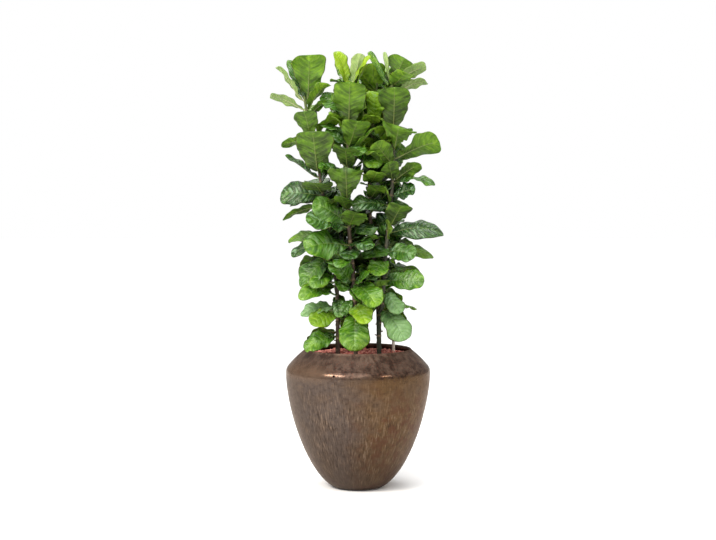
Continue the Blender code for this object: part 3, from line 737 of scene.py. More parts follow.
def blade_tube(spine, width, fold, blade, fineness, chance):
    """A closed blade. Each ring runs over the top from one margin to the other and back underneath, at
    share u along the blade; v runs from 1 at one margin to -1 at the other. Across, the blade folds up from
    the midrib as a rounded V. On that lie the bulges, |sin| of a phase that side veins share, the margin's
    waves, a groove for the midrib and a slow twist. A slow buckle runs aslant. The tip is notched where
    the parts beside the midrib reach past it. Fineness is the mm between rows. Also gives the chart (vein
    phase, v), which points are underneath, and how far along the blade they are."""
    foot, tip, fullness, waist, lobe, cleft, cushion = BLADES[blade]
    length = spine[1]
    blade_length = length * (1 - PETIOLE_SHARE)
    rows = int(np.clip(blade_length / fineness, 12, 48))
    half_columns = int(np.clip(width / fineness / 2.4, 5, 13))
    even = np.linspace(0, 1, rows + 2)[1:-1]
    u = (0.5 * even + 0.5 * (1 - np.cos(math.pi * even)) / 2)[:, None]
    down = np.linspace(1, -1, 2 * half_columns + 1)
    v = np.concatenate([down, down[-2:0:-1]])
    beneath = np.concatenate([np.zeros(len(down)), np.ones(len(down) - 2)])
    beneath[[0, len(down) - 1]] = 0.5
    out = np.abs(v)

    widest = (foot / (foot + fullness * tip)) ** (1 / tip)
    outline = (u**foot * (1 - u**tip) ** fullness) / (widest**foot * (1 - widest**tip) ** fullness)
    outline = outline * (1 - waist * np.exp(-(((u - 0.38) / 0.14) ** 2)))
    phases = chance.uniform(0, 2 * math.pi, 6)
    beat = np.where(v > 0, phases[0], phases[1])
    outline = outline * (1 + 0.055 * np.sin(2 * math.pi * 1.7 * u + beat)
                         + 0.035 * np.sin(2 * math.pi * 3.9 * u - beat))
    half = width / 2 * outline
    notch = (cleft + chance.uniform(-0.01, 0.02)) * np.clip((u - 0.6) / 0.4, 0, 1) ** 2
    beside = 1 - np.exp(-((v * half / ((0.16 + cleft) * width)) ** 2))
    s = u - lobe * out**3 * np.exp(-u / 0.15) + notch * (beside - 0.6)
    place, _, across, over = on_spine(spine, PETIOLE_SHARE + (1 - PETIOLE_SHARE) * s)

    rise = (np.hypot(v, SOFTNESS) - SOFTNESS) / (math.hypot(1, SOFTNESS) - SOFTNESS)
    lean = chance.uniform(-8, 8)
    fold = np.radians(fold * (1 - 0.4 * u) + np.where(v > 0, lean, -lean))
    phase = (s - VEIN_SWEEP * out**1.3) * max(4, round(blade_length / VEIN_SPACING)) + 0.35
    fade = (1 - np.exp(-((out * half / 5) ** 2))) * (1 - out**4) * np.sin(math.pi * u) ** 0.5
    bulge = cushion * (np.abs(np.sin(math.pi * phase)) ** 0.7 - 0.5) * fade
    turns = chance.uniform(1.3, 2.3)
    wave = np.sin(2 * math.pi * turns * u + beat) + 0.45 * np.sin(2 * math.pi * 2.3 * turns * u + phases[2])
    ruffle = chance.uniform(0.06, 0.11) * width * out**2 * np.sin(math.pi * u) ** 0.4
    cup = chance.uniform(-0.12, 0.06) * width * out**3
    aslant = chance.uniform(0.7, 1.2) * u + chance.uniform(-0.4, 0.4) * v
    buckle = 0.06 * width * np.sin(2 * math.pi * aslant + phases[3]) * out * np.sin(math.pi * u) ** 0.5
    groove = -GROOVE * np.exp(-((v * half / 2.5) ** 2))
    sideways = half * v * np.cos(fold)
    lift = half * rise * np.sin(fold) + bulge + wave * ruffle + cup * outline + buckle + groove
    twist = np.radians(chance.uniform(-20, 20)) * (u - 0.3)
    sideways, lift = (sideways * np.cos(twist) - lift * np.sin(twist),
                      sideways * np.sin(twist) + lift * np.cos(twist))
    thickness = LEAF_THICKNESS / 2 * (1 - 2 * beneath) * (1 - 0.5 * out**6)
    points = place + across * sideways[..., None] + over * (lift + thickness)[..., None]

    poles, _, _, pole_over = on_spine(spine, np.array([PETIOLE_SHARE, 1.0]))
    poles = poles - pole_over * np.array([[GROOVE], [0.3]])
    along = phase / CHART_VEINS
    chart = np.stack(np.broadcast_arrays(along, (v + 1) / 2 + 0 * phase), -1).reshape(-1, 2)
    chart = np.concatenate([chart, [[along[0, 0], 0.5], [along[-1, 0], 0.5]]])
    under = np.append(np.broadcast_to(beneath, points.shape[:2]).ravel(), [0.5, 0.5])
    way = np.append(np.broadcast_to(u, points.shape[:2]).ravel(), [0, 1])
    return tube(points * MM, poles[0] * MM, poles[1] * MM), chart, under, way


# %% The rib, and a whole leaf
RIB_SIDES = 8


def rib_tube(spine):
    """Petiole and midrib in one: a round rod from a swollen heel on the stem to the blade's foot, that goes
    on beneath the blade and tapers out before the tip."""
    table, length = spine
    t = np.concatenate([[0, 0.02, 0.05, 0.09, 0.13], np.linspace(0.17, 0.9, 12)])
    size = np.clip(length / 130, 0.65, 1.15)
    thick = np.interp(t, [0, 0.02, 0.05, 0.13, 0.2, 0.9], [3.4, 2.9, 2.1, 2.1, 1.8, 0.4]) * size
    place, ahead, across, over = read_spine(table, t)
    sunk = np.interp(t, [0, PETIOLE_SHARE, 0.2, 0.9], [0, GROOVE * 0.6, GROOVE + 0.5, GROOVE + 0.1])
    place = place - over * (sunk + np.where(t > PETIOLE_SHARE, 0.25 * thick, 0))[:, None]
    rings = place[:, None] + spokes(across, over, even_turns(RIB_SIDES)) * thick[:, None, None]
    return tube(rings * MM, (place[0] - ahead[0] * 0.5) * MM, (place[-1] + ahead[-1] * 2) * MM)


def leaf_tubes(row, tone, fineness, chance):
    """The blade and the rib of one leaf with their chart and values, all from its row of the table."""
    stem, height, reach, width, face, arch, fold, blade = row
    curl = chance.uniform(5, 32) if blade in ("fiddle", "wedge") else chance.uniform(0, 20)
    spine = leaf_spine(stem, height, reach, face, arch, curl)
    blade_part, chart, under, way = blade_tube(spine, width, fold, blade, fineness, chance)
    rib_part = rib_tube(spine)
    rib_points = len(rib_part[0])
    chart = np.concatenate([chart, np.tile([0.0, 0.5], (rib_points, 1))])
    under = np.append(under, np.ones(rib_points))
    # Painted light and shade along the blade: the tone rises towards the tip, so the foot is darker and the
    # tip lighter
    tones = np.append(tone + 0.45 * (way - 0.55), np.full(rib_points, tone))
    return [(*blade_part, 0), (*rib_part, 1)], chart, {"underside": under, "tone": tones}


def name_seed(name):
    """A whole number that a name gives, for a leaf's own random draws."""
    return sum(ord(letter) * (place + 1) for place, letter in enumerate(name))

# %% [markdown]
# ## The leaf's skin
# A fig leaf has two faces. The upper one has a thick wax coat: dark green, glossy enough to mirror the sky
# as a grey sheen, with thin pale veins. The underside has none: it is a lighter, yellower green and matt,
# with veins that stand out. A picture could hold both, but the pattern has to follow the bulges. So the
# chart that came with each blade counts side veins along it, and the finish paints a vein where that count
# is whole. A tone on every leaf, from old (0) to fresh (1), mixes between two greens.
# The tone also carries painted shade and light: darker at middle height inside the crown and towards each
# leaf's foot, lighter towards the tip and on leaves of the middle stems.

# %% Leaf finishes
def fig_leaf(name, upper, beneath, vein, gloss):
    """Leathery leaf. Upper and beneath are three greens each, from old and shaded to young. Gloss is the
    roughness of the waxed side. Veins are 1 to 2 mm wide, the cushions between them stand 1 mm proud, the
    finest net has 5 mm meshes, and the margin is a thin brown line in places. Pale streaks on the upper side
    are wax bloom and painted sheen. The leaf is thin, so light from behind glows through it in yellow-green."""
    made, tree, shader = new_finish(name, {
        "IOR": 1.5, "Specular IOR Level": 0.42, "Specular Tint": linear("#edf3e2"), "Subsurface Weight": 0.1,
        "Subsurface Scale": 0.004, "Subsurface Radius": (0.5, 1.0, 0.1)})
    where = add(tree, "TexCoord").outputs["Object"]
    under = add(tree, "Attribute", {"attribute_name": "underside"}).outputs["Fac"]
    tone = add(tree, "Attribute", {"attribute_name": "tone"}).outputs["Fac"]
    chart = add(tree, "UVMap", {"uv_map": "Chart"})
    parts = add(tree, "SeparateXYZ", None, (chart,))
    cloud = add(tree, "TexNoise", None, {"Vector": where, "Scale": 24, "Detail": 3, "Roughness": 0.6})

    # Streaks that run along the side veins, about two to a cushion, so nearly 8 mm apart
    aslant = add(tree, "VectorMath", "MULTIPLY", (chart, (34, 3, 1)))
    apart = add(tree, "VectorMath", "MULTIPLY_ADD", (where, (9, 9, 9), aslant))
    streak = add(tree, "TexNoise", None, {"Vector": apart, "Scale": 1.0, "Detail": 3, "Roughness": 0.6})
    mottle = add(tree, "Math", "ADD", (cloud, streak))
    contrast = add(tree, "MapRange", None, (under, 0, 1, 1.2, 1.35))
    drift = add(tree, "Math", "SUBTRACT", (mottle, 1))
    drift = add(tree, "Math", "MULTIPLY", (drift, contrast))
    shade = add(tree, "Math", {"operation": "ADD", "use_clamp": True}, (drift, tone))
    low = add(tree, "Math", "MULTIPLY", (shade, 2))
    high = add(tree, "Math", "MULTIPLY_ADD", (shade, 2, -1))
    faces = []
    for old, middle, young in (upper, beneath):
        green = add(tree, "Mix", COLOURS, {0: low, 6: linear(old), 7: linear(middle)})
        faces.append(add(tree, "Mix", COLOURS, {0: high, 6: green, 7: linear(young)}))
    base = add(tree, "Mix", COLOURS, {0: under, 6: faces[0], 7: faces[1]})

    # Distance from the midrib, 0 to 0.5 at the margin, and from the nearest side vein, 0 to 0.5
    offset = add(tree, "Math", "SUBTRACT", (parts.outputs["Y"], 0.5))
    offset = add(tree, "Math", "ABSOLUTE", (offset,))
    veins = add(tree, "Math", "MULTIPLY", (parts.outputs["X"], CHART_VEINS))
    veins = add(tree, "Math", "PINGPONG", (veins, 0.5))
    side_vein = add(tree, "MapRange", SOFT_STEP, (veins, 0.02, 0.13, 1, 0))
    faded = add(tree, "MapRange", SOFT_STEP, (offset, 0.22, 0.47, 1, 0))
    side_vein = add(tree, "Math", "MULTIPLY", (side_vein, faded))
    midrib = add(tree, "MapRange", SOFT_STEP, (offset, 0.012, 0.035, 1, 0))
    net = add(tree, "TexVoronoi", {"feature": "DISTANCE_TO_EDGE"}, {"Vector": where, "Scale": 200})
    mesh_line = add(tree, "MapRange", SOFT_STEP, (net, 0, 0.12, 0.3, 0))
    line = side_vein
    for other in (midrib, mesh_line):
        line = add(tree, "Math", "MAXIMUM", (line, other))
    strength = add(tree, "MapRange", None, (under, 0, 1, 0.14, 0.12))
    painted = add(tree, "Math", "MULTIPLY", (line, strength))

    # Wax bloom and painted sheen: pale grey-green streaks on the cushions of the upper side, partly bloom and
    # partly the sky's grey sheen painted in, on some parts of a leaf more than on others
    waxed = add(tree, "MapRange", SOFT_STEP, (streak, 0.47, 0.64))
    spread = add(tree, "TexNoise", None, {"Vector": where, "Scale": 28, "Detail": 2})
    spread = add(tree, "MapRange", SOFT_STEP, (spread, 0.42, 0.6, 0, 0.55))
    bare = add(tree, "MapRange", None, (under, 0, 1, 1, 0))
    aged = add(tree, "MapRange", SOFT_STEP, (tone, 0.5, 0.2, 0.5, 1))
    for share in (spread, bare, aged):
        waxed = add(tree, "Math", "MULTIPLY", (waxed, share))
    # A dry brown line along parts of the margin
    edge = add(tree, "MapRange", SOFT_STEP, (offset, 0.46, 0.5))
    dry = add(tree, "MapRange", SOFT_STEP, (cloud, 0.42, 0.58, 0, 0.8))
    edge = add(tree, "Math", "MULTIPLY", (edge, dry))
    for share, colour in ((painted, vein), (waxed, "#86a484"), (edge, "#4b3a1d")):
        base = add(tree, "Mix", COLOURS, {0: share, 6: base, 7: linear(colour)})

    rough = add(tree, "MapRange", None, (under, 0, 1, gloss, 0.66))
    rough = add(tree, "Math", "MULTIPLY_ADD", (streak, 0.24, rough))
    rough = add(tree, "Math", "SUBTRACT", (rough, 0.12))
    cushion = add(tree, "Math", "MULTIPLY", (veins, 2))
    cushion = add(tree, "Math", "POWER", (cushion, 0.6))
    wrinkle = add(tree, "Math", "MULTIPLY_ADD", (streak, 2.2, cushion))
    relief = add(tree, "Math", "SUBTRACT", (wrinkle, line))
    standing = add(tree, "MapRange", None, (under, 0, 1, 1, -0.7))
    height = add(tree, "Math", "MULTIPLY", (relief, standing))
    bump = add(tree, "Bump", None, {"Strength": 0.5, "Distance": 0.0014, "Height": height})
    wire(tree, shader, {"Base Color": base, "Roughness": rough, "Normal": bump})
    return made


def leaf_stalk(name, colour, foot_colour):
    """Petiole and midrib: smooth and fleshy, paler than the blade, browner where fine 6 mm streaks are."""
    made, tree, shader = new_finish(name, {"Roughness": 0.45})
    where = add(tree, "TexCoord").outputs["Object"]
    streak = add(tree, "TexNoise", None, {"Vector": where, "Scale": 160, "Detail": 3})
    base = add(tree, "Mix", COLOURS, {0: streak, 6: linear(colour), 7: linear(foot_colour)})
    wire(tree, shader, {"Base Color": base})
    return made


# Each: the leaf's name, its greens above and beneath, its veins and roughness; its petiole's name and colours
FINISHES = {
    key: (fig_leaf("fiddle leaf, " + name, *skin), leaf_stalk("petiole, " + stalk, *colours))
    for key, name, skin, stalk, colours in (
        ("mature", "mature",
         (("#13300f", "#3a640f", "#739820"), ("#223504", "#486a08", "#72941a"), "#8ca654", 0.27),
         "green", ("#6b8038", "#54502a")),
        ("fresh", "fresh yellow-green",
         (("#2e4c0a", "#567a0e", "#84a41e"), ("#3a500c", "#587410", "#7e9420"), "#a0b45c", 0.34),
         "yellow-green", ("#8c983c", "#706a34")),
        ("new", "newly opened",
         (("#506e04", "#6c8a06", "#86a20c"), ("#587606", "#728e0a", "#8aa410"), "#8ca024", 0.36),
         "lime", ("#9ab038", "#848f30")),
        # dusty: paler grey-greens, partly bloom and partly painted sheen, for leaves that catch the grey
        # sheen
        ("dusty", "mature, bloom and painted sheen",
         (("#3a5c2c", "#5c8048", "#80a26e"), ("#3c5820", "#5c7830", "#7c9448"), "#9cb88a", 0.4),
         "dusty green", ("#7c8c54", "#54502a")),
        ("pale", "unfolding and downy",
         (("#5f7838", "#7c9450", "#96aa6a"), ("#667e40", "#809656", "#98ac6e"), "#a8b890", 0.5),
         "downy", ("#9aa878", "#8a8460")))
}
print("leaf finishes:", ", ".join(FINISHES))

# %% [markdown]
# ## All the leaves
# Each row says where a leaf joins its stem, where its tip is from there, how wide it is, which way its
# upper face looks, how it arches and folds, and its outline. Fig leaves grow in a spiral, but light turns
# and bends them, so the rows were laid out one by one. Every leaf that leans to the front has a near twin
# behind the stem, which a rule makes.

# %% Leaf table, in millimetres
# By stem and number: height of the joint, reach to the tip (right, front, up), width, upper face (right,
# front, up), arch of the midrib as a share of its length, fold in degrees, outline
CAD_LEAVES = {
    "left": {
        1: (524, (-108, 60, -40), 76, (0, 1, 1), 0.15, 10, "oval"),
        4: (696, (-124, 70, -32), 62, (0, 1, 0.7), 0.12, 8, "oval"),
        5: (752, (-118, 20, -46), 84, (-0.1, 1, 0.7), 0.12, 8, "oval"),
        6: (792, (-100, 35, -88), 92, (0, 1, 1), 0.18, 5, "oval"),
        7: (848, (-134, 14, -38), 66, (0, 0.8, 1), 0.1, 8, "oval"),
        8: (868, (-146, -50, -6), 50, (0, 0.8, 0.8), 0.05, 8, "oval"),
        9: (972, (-142, 20, -42), 46, (-0.1, -0.7, 0.8), 0.1, 8, "oval"),
        11: (1008, (-142, 10, 14), 92, (-0.2, 1, 0.3), 0.12, 5, "fiddle"),
        12: (1018, (-28, 110, 42), 104, (0, -0.4, 1), 0, 8, "oval"),
        13: (1070, (-116, -20, 80), 46, (0.57, 0.35, 0.75), 0, 20, "oval"),
        14: (1088, (-20, 45, 140), 134, (0.25, -1, 0), 0, 8, "fiddle"),
        16: (1192, (-30, 45, 105), 84, (0, -1, 0.4), 0, 8, "wedge"),
        18: (1300, (-120, -10, 55), 50, (0, -0.7, 1), 0.1, 8, "fiddle"),
        19: (1333, (-84, 10, 122), 48, (0.5, -0.6, 0.6), 0, 14, "fiddle"),
        20: (1322, (14, -25, 168), 118, (0.1, -1, 0.1), 0.03, 5, "wedge"),
        21: (1340, (-40, -60, 142), 62, (0.6, 0.7, 0.3), 0, 8, "fiddle"),
    },
    "middle": {
        1: (596, (-2, 100, -110), 106, (0, 1, 0.9), 0.2, 4, "round"),
        3: (703, (76, 105, -62), 92, (0, 1, 1), 0.15, 5, "round"),
        4: (716, (-72, 50, 78), 86, (0.3, 1, 0.5), 0.1, 8, "round"),
        6: (838, (-150, 70, -3), 112, (0, 1, 1), 0.12, 5, "round"),
        8: (900, (-138, 75, 30), 92, (0, 1, 1), 0.1, 5, "round"),
        9: (905, (25, 95, 55), 94, (0, -0.6, 1), 0.05, 5, "round"),
        10: (922, (-112, 60, 66), 90, (0, 1, 0.6), 0.05, 5, "round"),
        11: (985, (-6, 60, 122), 124, (0, -0.9, 0.4), 0, 14, "notched"),
        13: (1105, (-8, 95, 74), 92, (0, -0.6, 0.8), 0.05, 12, "fiddle"),
        16: (1175, (33, 60, 92), 94, (0, -1, 0.4), 0, 8, "fiddle"),
        18: (1250, (4, 42, 146), 116, (0, -1, 0.1), 0.02, 8, "fiddle"),
        21: (1388, (-42, 0, 114), 52, (0.6, 0.9, 0.2), 0.08, 18, "young"),
    },
    "rear": {
        5: (1050, (25, 95, 40), 82, (0, -0.6, 0.8), -0.05, 8, "round"),
        9: (1262, (4, 60, 98), 80, (-0.2, 1, 0.3), 0, 5, "fiddle"),
    },
    "right": {
        1: (615, (78, 70, -97), 94, (0.3, 1, 0.6), 0.12, 4, "round"),
        4: (713, (134, 50, 5), 76, (0, 1, 0.5), 0.08, 6, "round"),
        7: (822, (164, -25, -20), 50, (0, 0.8, 0.8), 0.1, 8, "oval"),
        10: (880, (190, 15, 6), 92, (0, 1, 0.8), 0.2, 8, "oval"),
        11: (906, (42, 50, 78), 94, (0, -0.8, 0.5), 0, 5, "fiddle"),
        15: (1052, (144, 10, -4), 56, (0, 0.25, 1), 0.2, 8, "oval"),
        19: (1135, (154, 20, 62), 96, (0, -1, 0.7), 0.12, 6, "fiddle"),
        22: (1165, (16, 85, 84), 124, (0, -0.7, 0.7), 0, 20, "notched"),
        23: (1240, (4, 42, 140), 112, (0.1, -1, 0.1), 0.02, 5, "fiddle"),
        27: (1398, (40, -45, 84), 96, (0, -1, 0.3), 0, 5, "fiddle"),
    },
}
SMALL_LEAVES = {
    "left": {
        2: (598, (-86, 75, -26), 72, (0, 1, 1), 0.15, 8, "oval"),
        3: (624, (-122, 20, -26), 72, (0, 0.5, 1), 0.2, 10, "oval"),
        10: (990, (-116, -40, -12), 46, (0, 0.5, 1), 0.1, 8, "oval"),
        15: (1192, (-112, -42, -10), 44, (-0.1, -0.8, 0.6), 0.2, 8, "oval"),
        17: (1282, (64, 10, 48), 36, (-0.3, -0.6, 0.7), 0.1, 8, "fiddle"),
        22: (1300, (78, 30, 88), 66, (-0.6, -0.45, 0.5), 0.2, 20, "oval"),
        23: (1046, (6, 70, 58), 54, (0.2, 0.8, 0.6), 0.1, 8, "round"),
        24: (738, (-78, 82, -34), 60, (0, 1, 0.8), 0.15, 6, "oval"),
        25: (652, (10, 66, -56), 48, (-0.2, 1, 0.7), 0.12, 8, "oval"),
        26: (716, (26, 50, -34), 52, (0.3, 0.9, 0.9), 0.15, 8, "round"),
    },
    "middle": {
        2: (632, (36, 115, -48), 80, (0, 0.6, 1), 0.15, 5, "oval"),
        5: (716, (48, 80, 28), 60, (-1, 0, 0.5), 0, 10, "oval"),
        7: (843, (70, 95, -5), 72, (0, 0.8, 1), 0.12, 5, "oval"),
        12: (1085, (-96, 30, 22), 54, (0, 0.8, 1), 0.1, 5, "oval"),
        14: (1108, (-65, -20, 108), 56, (0.85, -0.35, 0.4), 0, 15, "oval"),
        15: (1150, (90, 30, 92), 50, (-0.7, 0, 0.7), 0, 15, "oval"),
        17: (1212, (-102, -10, 48), 62, (0.2, 0.5, 1), 0.1, 10, "oval"),
        19: (1290, (-92, -20, 62), 70, (0, 0.8, 0.8), 0.1, 8, "oval"),
        20: (1378, (-65, -10, 22), 44, (0.3, 0.2, 1), 0.1, 10, "oval"),
        24: (962, (-24, 70, 46), 66, (0.2, -0.6, 0.8), 0.05, 14, "round"),
        25: (800, (-40, 90, -30), 70, (-0.3, 0.8, 1), 0.15, 8, "round"),
        26: (822, (-8, 90, -26), 72, (0, 0.9, 0.9), 0.12, 6, "round"),
        27: (1172, (50, 60, -24), 58, (0.2, 0.9, 0.8), 0.15, 6, "round"),
        28: (1184, (-70, 10, 54), 46, (0, 0.9, 0.4), 0.1, 6, "oval"),
        29: (650, (-40, 34, -48), 38, (0.2, 0.9, 0.6), 0.12, 8, "oval"),
        22: (1390, (34, -12, 102), 52, (0, -1, 0), 0.03, 10, "young"),
        23: (1390, (64, 14, 94), 30, (-0.8, 0.5, 0.3), 0.06, 20, "young"),
    },
    "rear": {
        1: (830, (15, 70, -30), 100, (0, 1, 0.5), 0.1, 5, "round"),
        2: (955, (40, 50, 25), 45, (0, 0.5, 1), 0.1, 5, "oval"),
        3: (1000, (35, 80, 45), 66, (0, -0.5, 0.8), 0, 5, "round"),
        4: (1045, (-30, 20, 6), 24, (0, 0.5, 1), 0, 5, "oval"),
        6: (1070, (20, -30, 66), 84, (0, 1, 0.3), 0, 5, "round"),
        7: (1165, (-15, 30, 45), 44, (0, -0.6, 0.8), 0, 5, "oval"),
        8: (1255, (-6, 105, 26), 74, (0, 0, 1), 0.15, -24, "oval"),
        10: (1350, (-8, -5, 116), 92, (0, -1, 0.2), 0, 5, "fiddle"),
        11: (1375, (-50, 20, 50), 50, (0, -0.5, 0.8), 0.05, 8, "oval"),
        12: (1148, (10, 85, -44), 74, (0, 0.9, 0.8), 0.18, 5, "round"),
        13: (912, (-26, 60, -36), 92, (-0.1, 0.8, 0.7), 0.12, 5, "round"),
        14: (1362, (-34, -24, 52), 60, (0, -1, 0.3), 0, 6, "round"),
    },
    "right": {
        2: (640, (116, -30, -25), 60, (0, 0, 1), 0.08, 5, "oval"),
        3: (668, (58, 62, -58), 62, (0, 1, 0.6), 0.1, 5, "round"),
        5: (765, (100, -45, -12), 72, (0, 0.3, 1), 0.1, 5, "oval"),
        6: (782, (-36, 80, -42), 78, (0, 1, 1), 0.1, 5, "oval"),
        8: (817, (95, 55, -8), 78, (0, 1, 0.6), 0.08, 5, "round"),
        9: (862, (5, 50, 60), 55, (1, 0, 0.3), 0, 5, "oval"),
        12: (972, (-130, 30, 4), 80, (0, 0.8, 0.8), 0.14, 5, "round"),
        13: (982, (-18, 70, 58), 50, (0.9, 0.2, 0.4), 0, 5, "oval"),
        14: (1008, (76, 30, 25), 70, (0, 0.8, 0.8), 0.05, 5, "round"),
        16: (1062, (92, 30, 54), 60, (0, -0.8, 0.8), 0.12, 5, "oval"),
        17: (1065, (-14, 70, 60), 66, (0, -0.8, 0.6), 0, 5, "round"),
        18: (1118, (-62, 50, 72), 76, (-0.3, -1, 0.4), 0, 5, "round"),
        20: (1130, (30, -60, 60), 66, (0.3, 1, 0.2), 0, 5, "round"),
        21: (1178, (-72, 10, 45), 50, (0.4, 0.2, 0.9), 0, 10, "oval"),
        24: (1358, (114, -10, 50), 52, (0, -0.8, 0.8), 0.1, 5, "fiddle"),
        25: (1385, (48, 60, 42), 84, (0, -0.6, 0.8), 0, 8, "round"),
        26: (1380, (-74, -10, 124), 26, (0.2, 1, 0.1), 0, 10, "fiddle"),
        28: (1396, (112, -30, 62), 50, (0, -0.7, 0.8), 0.05, 5, "fiddle"),
        29: (1400, (-22, -20, 104), 16, (0.2, 1, 0), 0, 10, "fiddle"),
        30: (930, (-44, -40, -36), 84, (0, 1, 0.5), 0.05, 5, "round"),
        31: (1366, (22, -34, 66), 92, (0, -1, 0.3), 0, 6, "fiddle"),
    },
}
# How much lighter or, where negative, darker these leaves are than others at their height: partly their age,
# partly painted light and shade for how lit each one is
TONE_AND_LIGHT_SHIFTS = {
    "left": {3: 0.15, 4: 0.1, 5: 0.05, 6: 0.1, 7: -0.3, 10: -0.3, 11: -0.35, 12: -0.1, 13: -0.3,
        14: -0.15, 16: -0.15, 18: -0.35, 19: -0.3, 20: -0.08, 24: 0.15, 25: -0.15, 26: -0.1},
    "middle": {3: 0.08, 4: 0.0, 6: 0.12, 11: -0.15, 13: -0.25, 26: -0.3, 28: -0.2, 29: -0.1},
    "rear": {8: 0.45, 9: 0.45, 10: 0.15, 13: -0.3},
    "right": {1: 0.1, 6: 0.3, 10: -0.15, 14: -0.3, 23: -0.28, 24: -0.3, 27: -0.2, 28: -0.3, 30: -0.3,
        31: -0.25},
}
# Finishes other than the usual ones; the dusty leaves carry painted sheen
LOOKS = {
    "left": {2: "fresh", 3: "dusty", 8: "fresh", 18: "pale", 19: "pale"},
    "middle": {2: "fresh", 22: "pale"},
    "right": {1: "dusty", 3: "dusty", 7: "fresh", 9: "fresh", 24: "pale", 28: "pale", 29: "pale"},
}
CENTRE_PAINTED_LIGHT = {"rear_stem": 0.2, "middle_stem": 0.07}  # painted light: leaves on the middle and rear stems get a lighter tone, to lift the shade in the crown's centre
TWIN_RISE = 14
TWIN_SCALE = 0.92
TWIN_REACH = 35  # leaves that reach at least this far to the front have a twin
NO_TWIN = ("middle_leaf_03", "middle_leaf_06", "middle_leaf_08", "middle_leaf_10")


def twin(stem, height, reach, width, face, arch, fold, blade):
    """The same leaf on the far side of its stem: a little higher and smaller, facing the other way."""
    reach = (TWIN_SCALE * reach[0], -TWIN_SCALE * reach[1], TWIN_SCALE * reach[2])
    face = (face[0], -face[1], face[2])
    return stem, height + TWIN_RISE, reach, TWIN_SCALE * width, face, arch, fold, blade


# %% [markdown]
# A crown keeps its leaves apart: each grows into free air and light. A script has to do the same, or leaves
# cut through each other. Comparing every pair of meshes would be exact and slow. Two grids do it at once:
# one of small blocks, which says where a leaf already is, and one of the crown seen from the front, which
# says how near the nearest leaf is there.

# %% Room in the crown
BLOCK = 8.0  # mm
ROOM_FROM = np.array([-320.0, -280.0, 480.0])
FRONT_CELL = 5.0
FRONT_FROM = (-320, 480)  # right and up, in mm
EYE_DISTANCE = 4800
EYE_HEIGHT = 1000
BARE_STEM_FROM = 720  # height above which a bare stem should be covered
BARE_STEM_WISH = 5
room = np.zeros((80, 70, 132), bool)
nearest = np.full((128, 212), np.inf)
wish = np.ones(nearest.shape)  # how much a leaf is wanted in each cell: most where a bare stem shows


def blocks(points):
    """Which block of the room each point (mm) is in."""
    return tuple(np.clip(((points - ROOM_FROM) // BLOCK).astype(int), 0, np.array(room.shape) - 1).T)


def seen_from_front(points):
    """Right and up (mm) of points as they appear on the middle plane to an eye in front of the plant."""
    share = EYE_DISTANCE / (EYE_DISTANCE + points[:, 1])
    return points[:, 0] * share, EYE_HEIGHT + (points[:, 2] - EYE_HEIGHT) * share


def front_cells(points):
    """Which cell of the front view each point is in."""
    return tuple(np.clip((place - start) // FRONT_CELL, 0, count - 1).astype(int)
                 for place, start, count in zip(seen_from_front(points), FRONT_FROM, nearest.shape))


def take_room(points):
    """Marks the blocks and the front cells of a leaf's points (mm) as taken."""
    room[blocks(points)] = True
    np.minimum.at(nearest, front_cells(points), points[:, 1])


for stem in STEMS:
    heights = np.arange(STEMS[stem][2][0][2], STEMS[stem][2][-1][2], 4.0)
    turn = even_turns(8)
    ring = np.column_stack([np.cos(turn), np.sin(turn), 0 * turn])
    wide = stem_radius(stem, heights)[:, None, None] + 1
    skin = (stem_centre(stem, heights)[:, None] + ring * wide).reshape(-1, 3)
    room[blocks(skin)] = True
    wish[front_cells(skin[skin[:, 2] > BARE_STEM_FROM])] = BARE_STEM_WISH
print(int(room.sum()), "blocks of the room taken by stems")

# %% Leaves
# Tone by height: the dip from 800 to 950 mm is painted shade inside the crown, the rise at the top is young
# leaves, and the lowest, lit well, are painted mid green
TONE_AND_SHADE_BY_HEIGHT = ((500, 700, 800, 950, 1100, 1250, 1400), (0.5, 0.42, 0.16, 0.14, 0.3, 0.4, 0.46))
FINE = 3.3  # mm between rows of a blade
COARSE = 5.0
ROUGH = 11.0


def by_name(table):
    """The rows of a table by the names of the leaves, such as left_leaf_01."""
    return {f"{side}_leaf_{number:02d}": row for side, rows in table.items() for number, row in rows.items()}


def tone_and_shade_at(height, shift):
    """How fresh a leaf is, with painted light and shade. The lowest ones are lit well and stay mid green,
    those in the middle are the darkest, as painted shade inside the crown, and the top ones are young. Each
    leaf differs a little by its shift."""
    return float(np.clip(np.interp(height, *TONE_AND_SHADE_BY_HEIGHT) + shift, 0, 1))


leaves = {name: (name.split("_")[0] + "_stem", *row)
          for table in (CAD_LEAVES, SMALL_LEAVES) for name, row in by_name(table).items()}
twins = {name + "_twin": twin(*row) for name, row in leaves.items()
         if row[2][1] >= TWIN_REACH and name not in NO_TWIN and row[-1] != "young"}
leaves.update(twins)
tone_and_light_shifts, looks = by_name(TONE_AND_LIGHT_SHIFTS), by_name(LOOKS)
leaf_triangles = 0
for name, row in leaves.items():
    young = row[-1] == "young"
    chance = np.random.default_rng(name_seed(name))
    shift = tone_and_light_shifts.get(name, chance.uniform(-0.16, 0.16)) + CENTRE_PAINTED_LIGHT.get(row[0], 0)
    tubes, chart, values = leaf_tubes(row, tone_and_shade_at(row[1], shift), FINE, chance)
    finishes = FINISHES[looks.get(name, "new" if young else "mature")]
    leaf = make_piece(name + "_blade", tubes, finishes, values, chart)
    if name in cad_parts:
        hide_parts(name)
    take_room(tubes[0][0] / MM)
    leaf_triangles += triangle_count(leaf)
print(len(leaves), "leaves,", len(twins), "of them twins,", leaf_triangles, "triangles")

# %% [markdown]
# Behind the leaves that the rows describe stand the inner ones, which close the crown and shade it. A rule
# grows them: leaves turn about a stem by the golden angle, 137.5 degrees, as on most plants. For each place
# a few directions are tried, and the one that closes most of the crown and has most free air is kept.

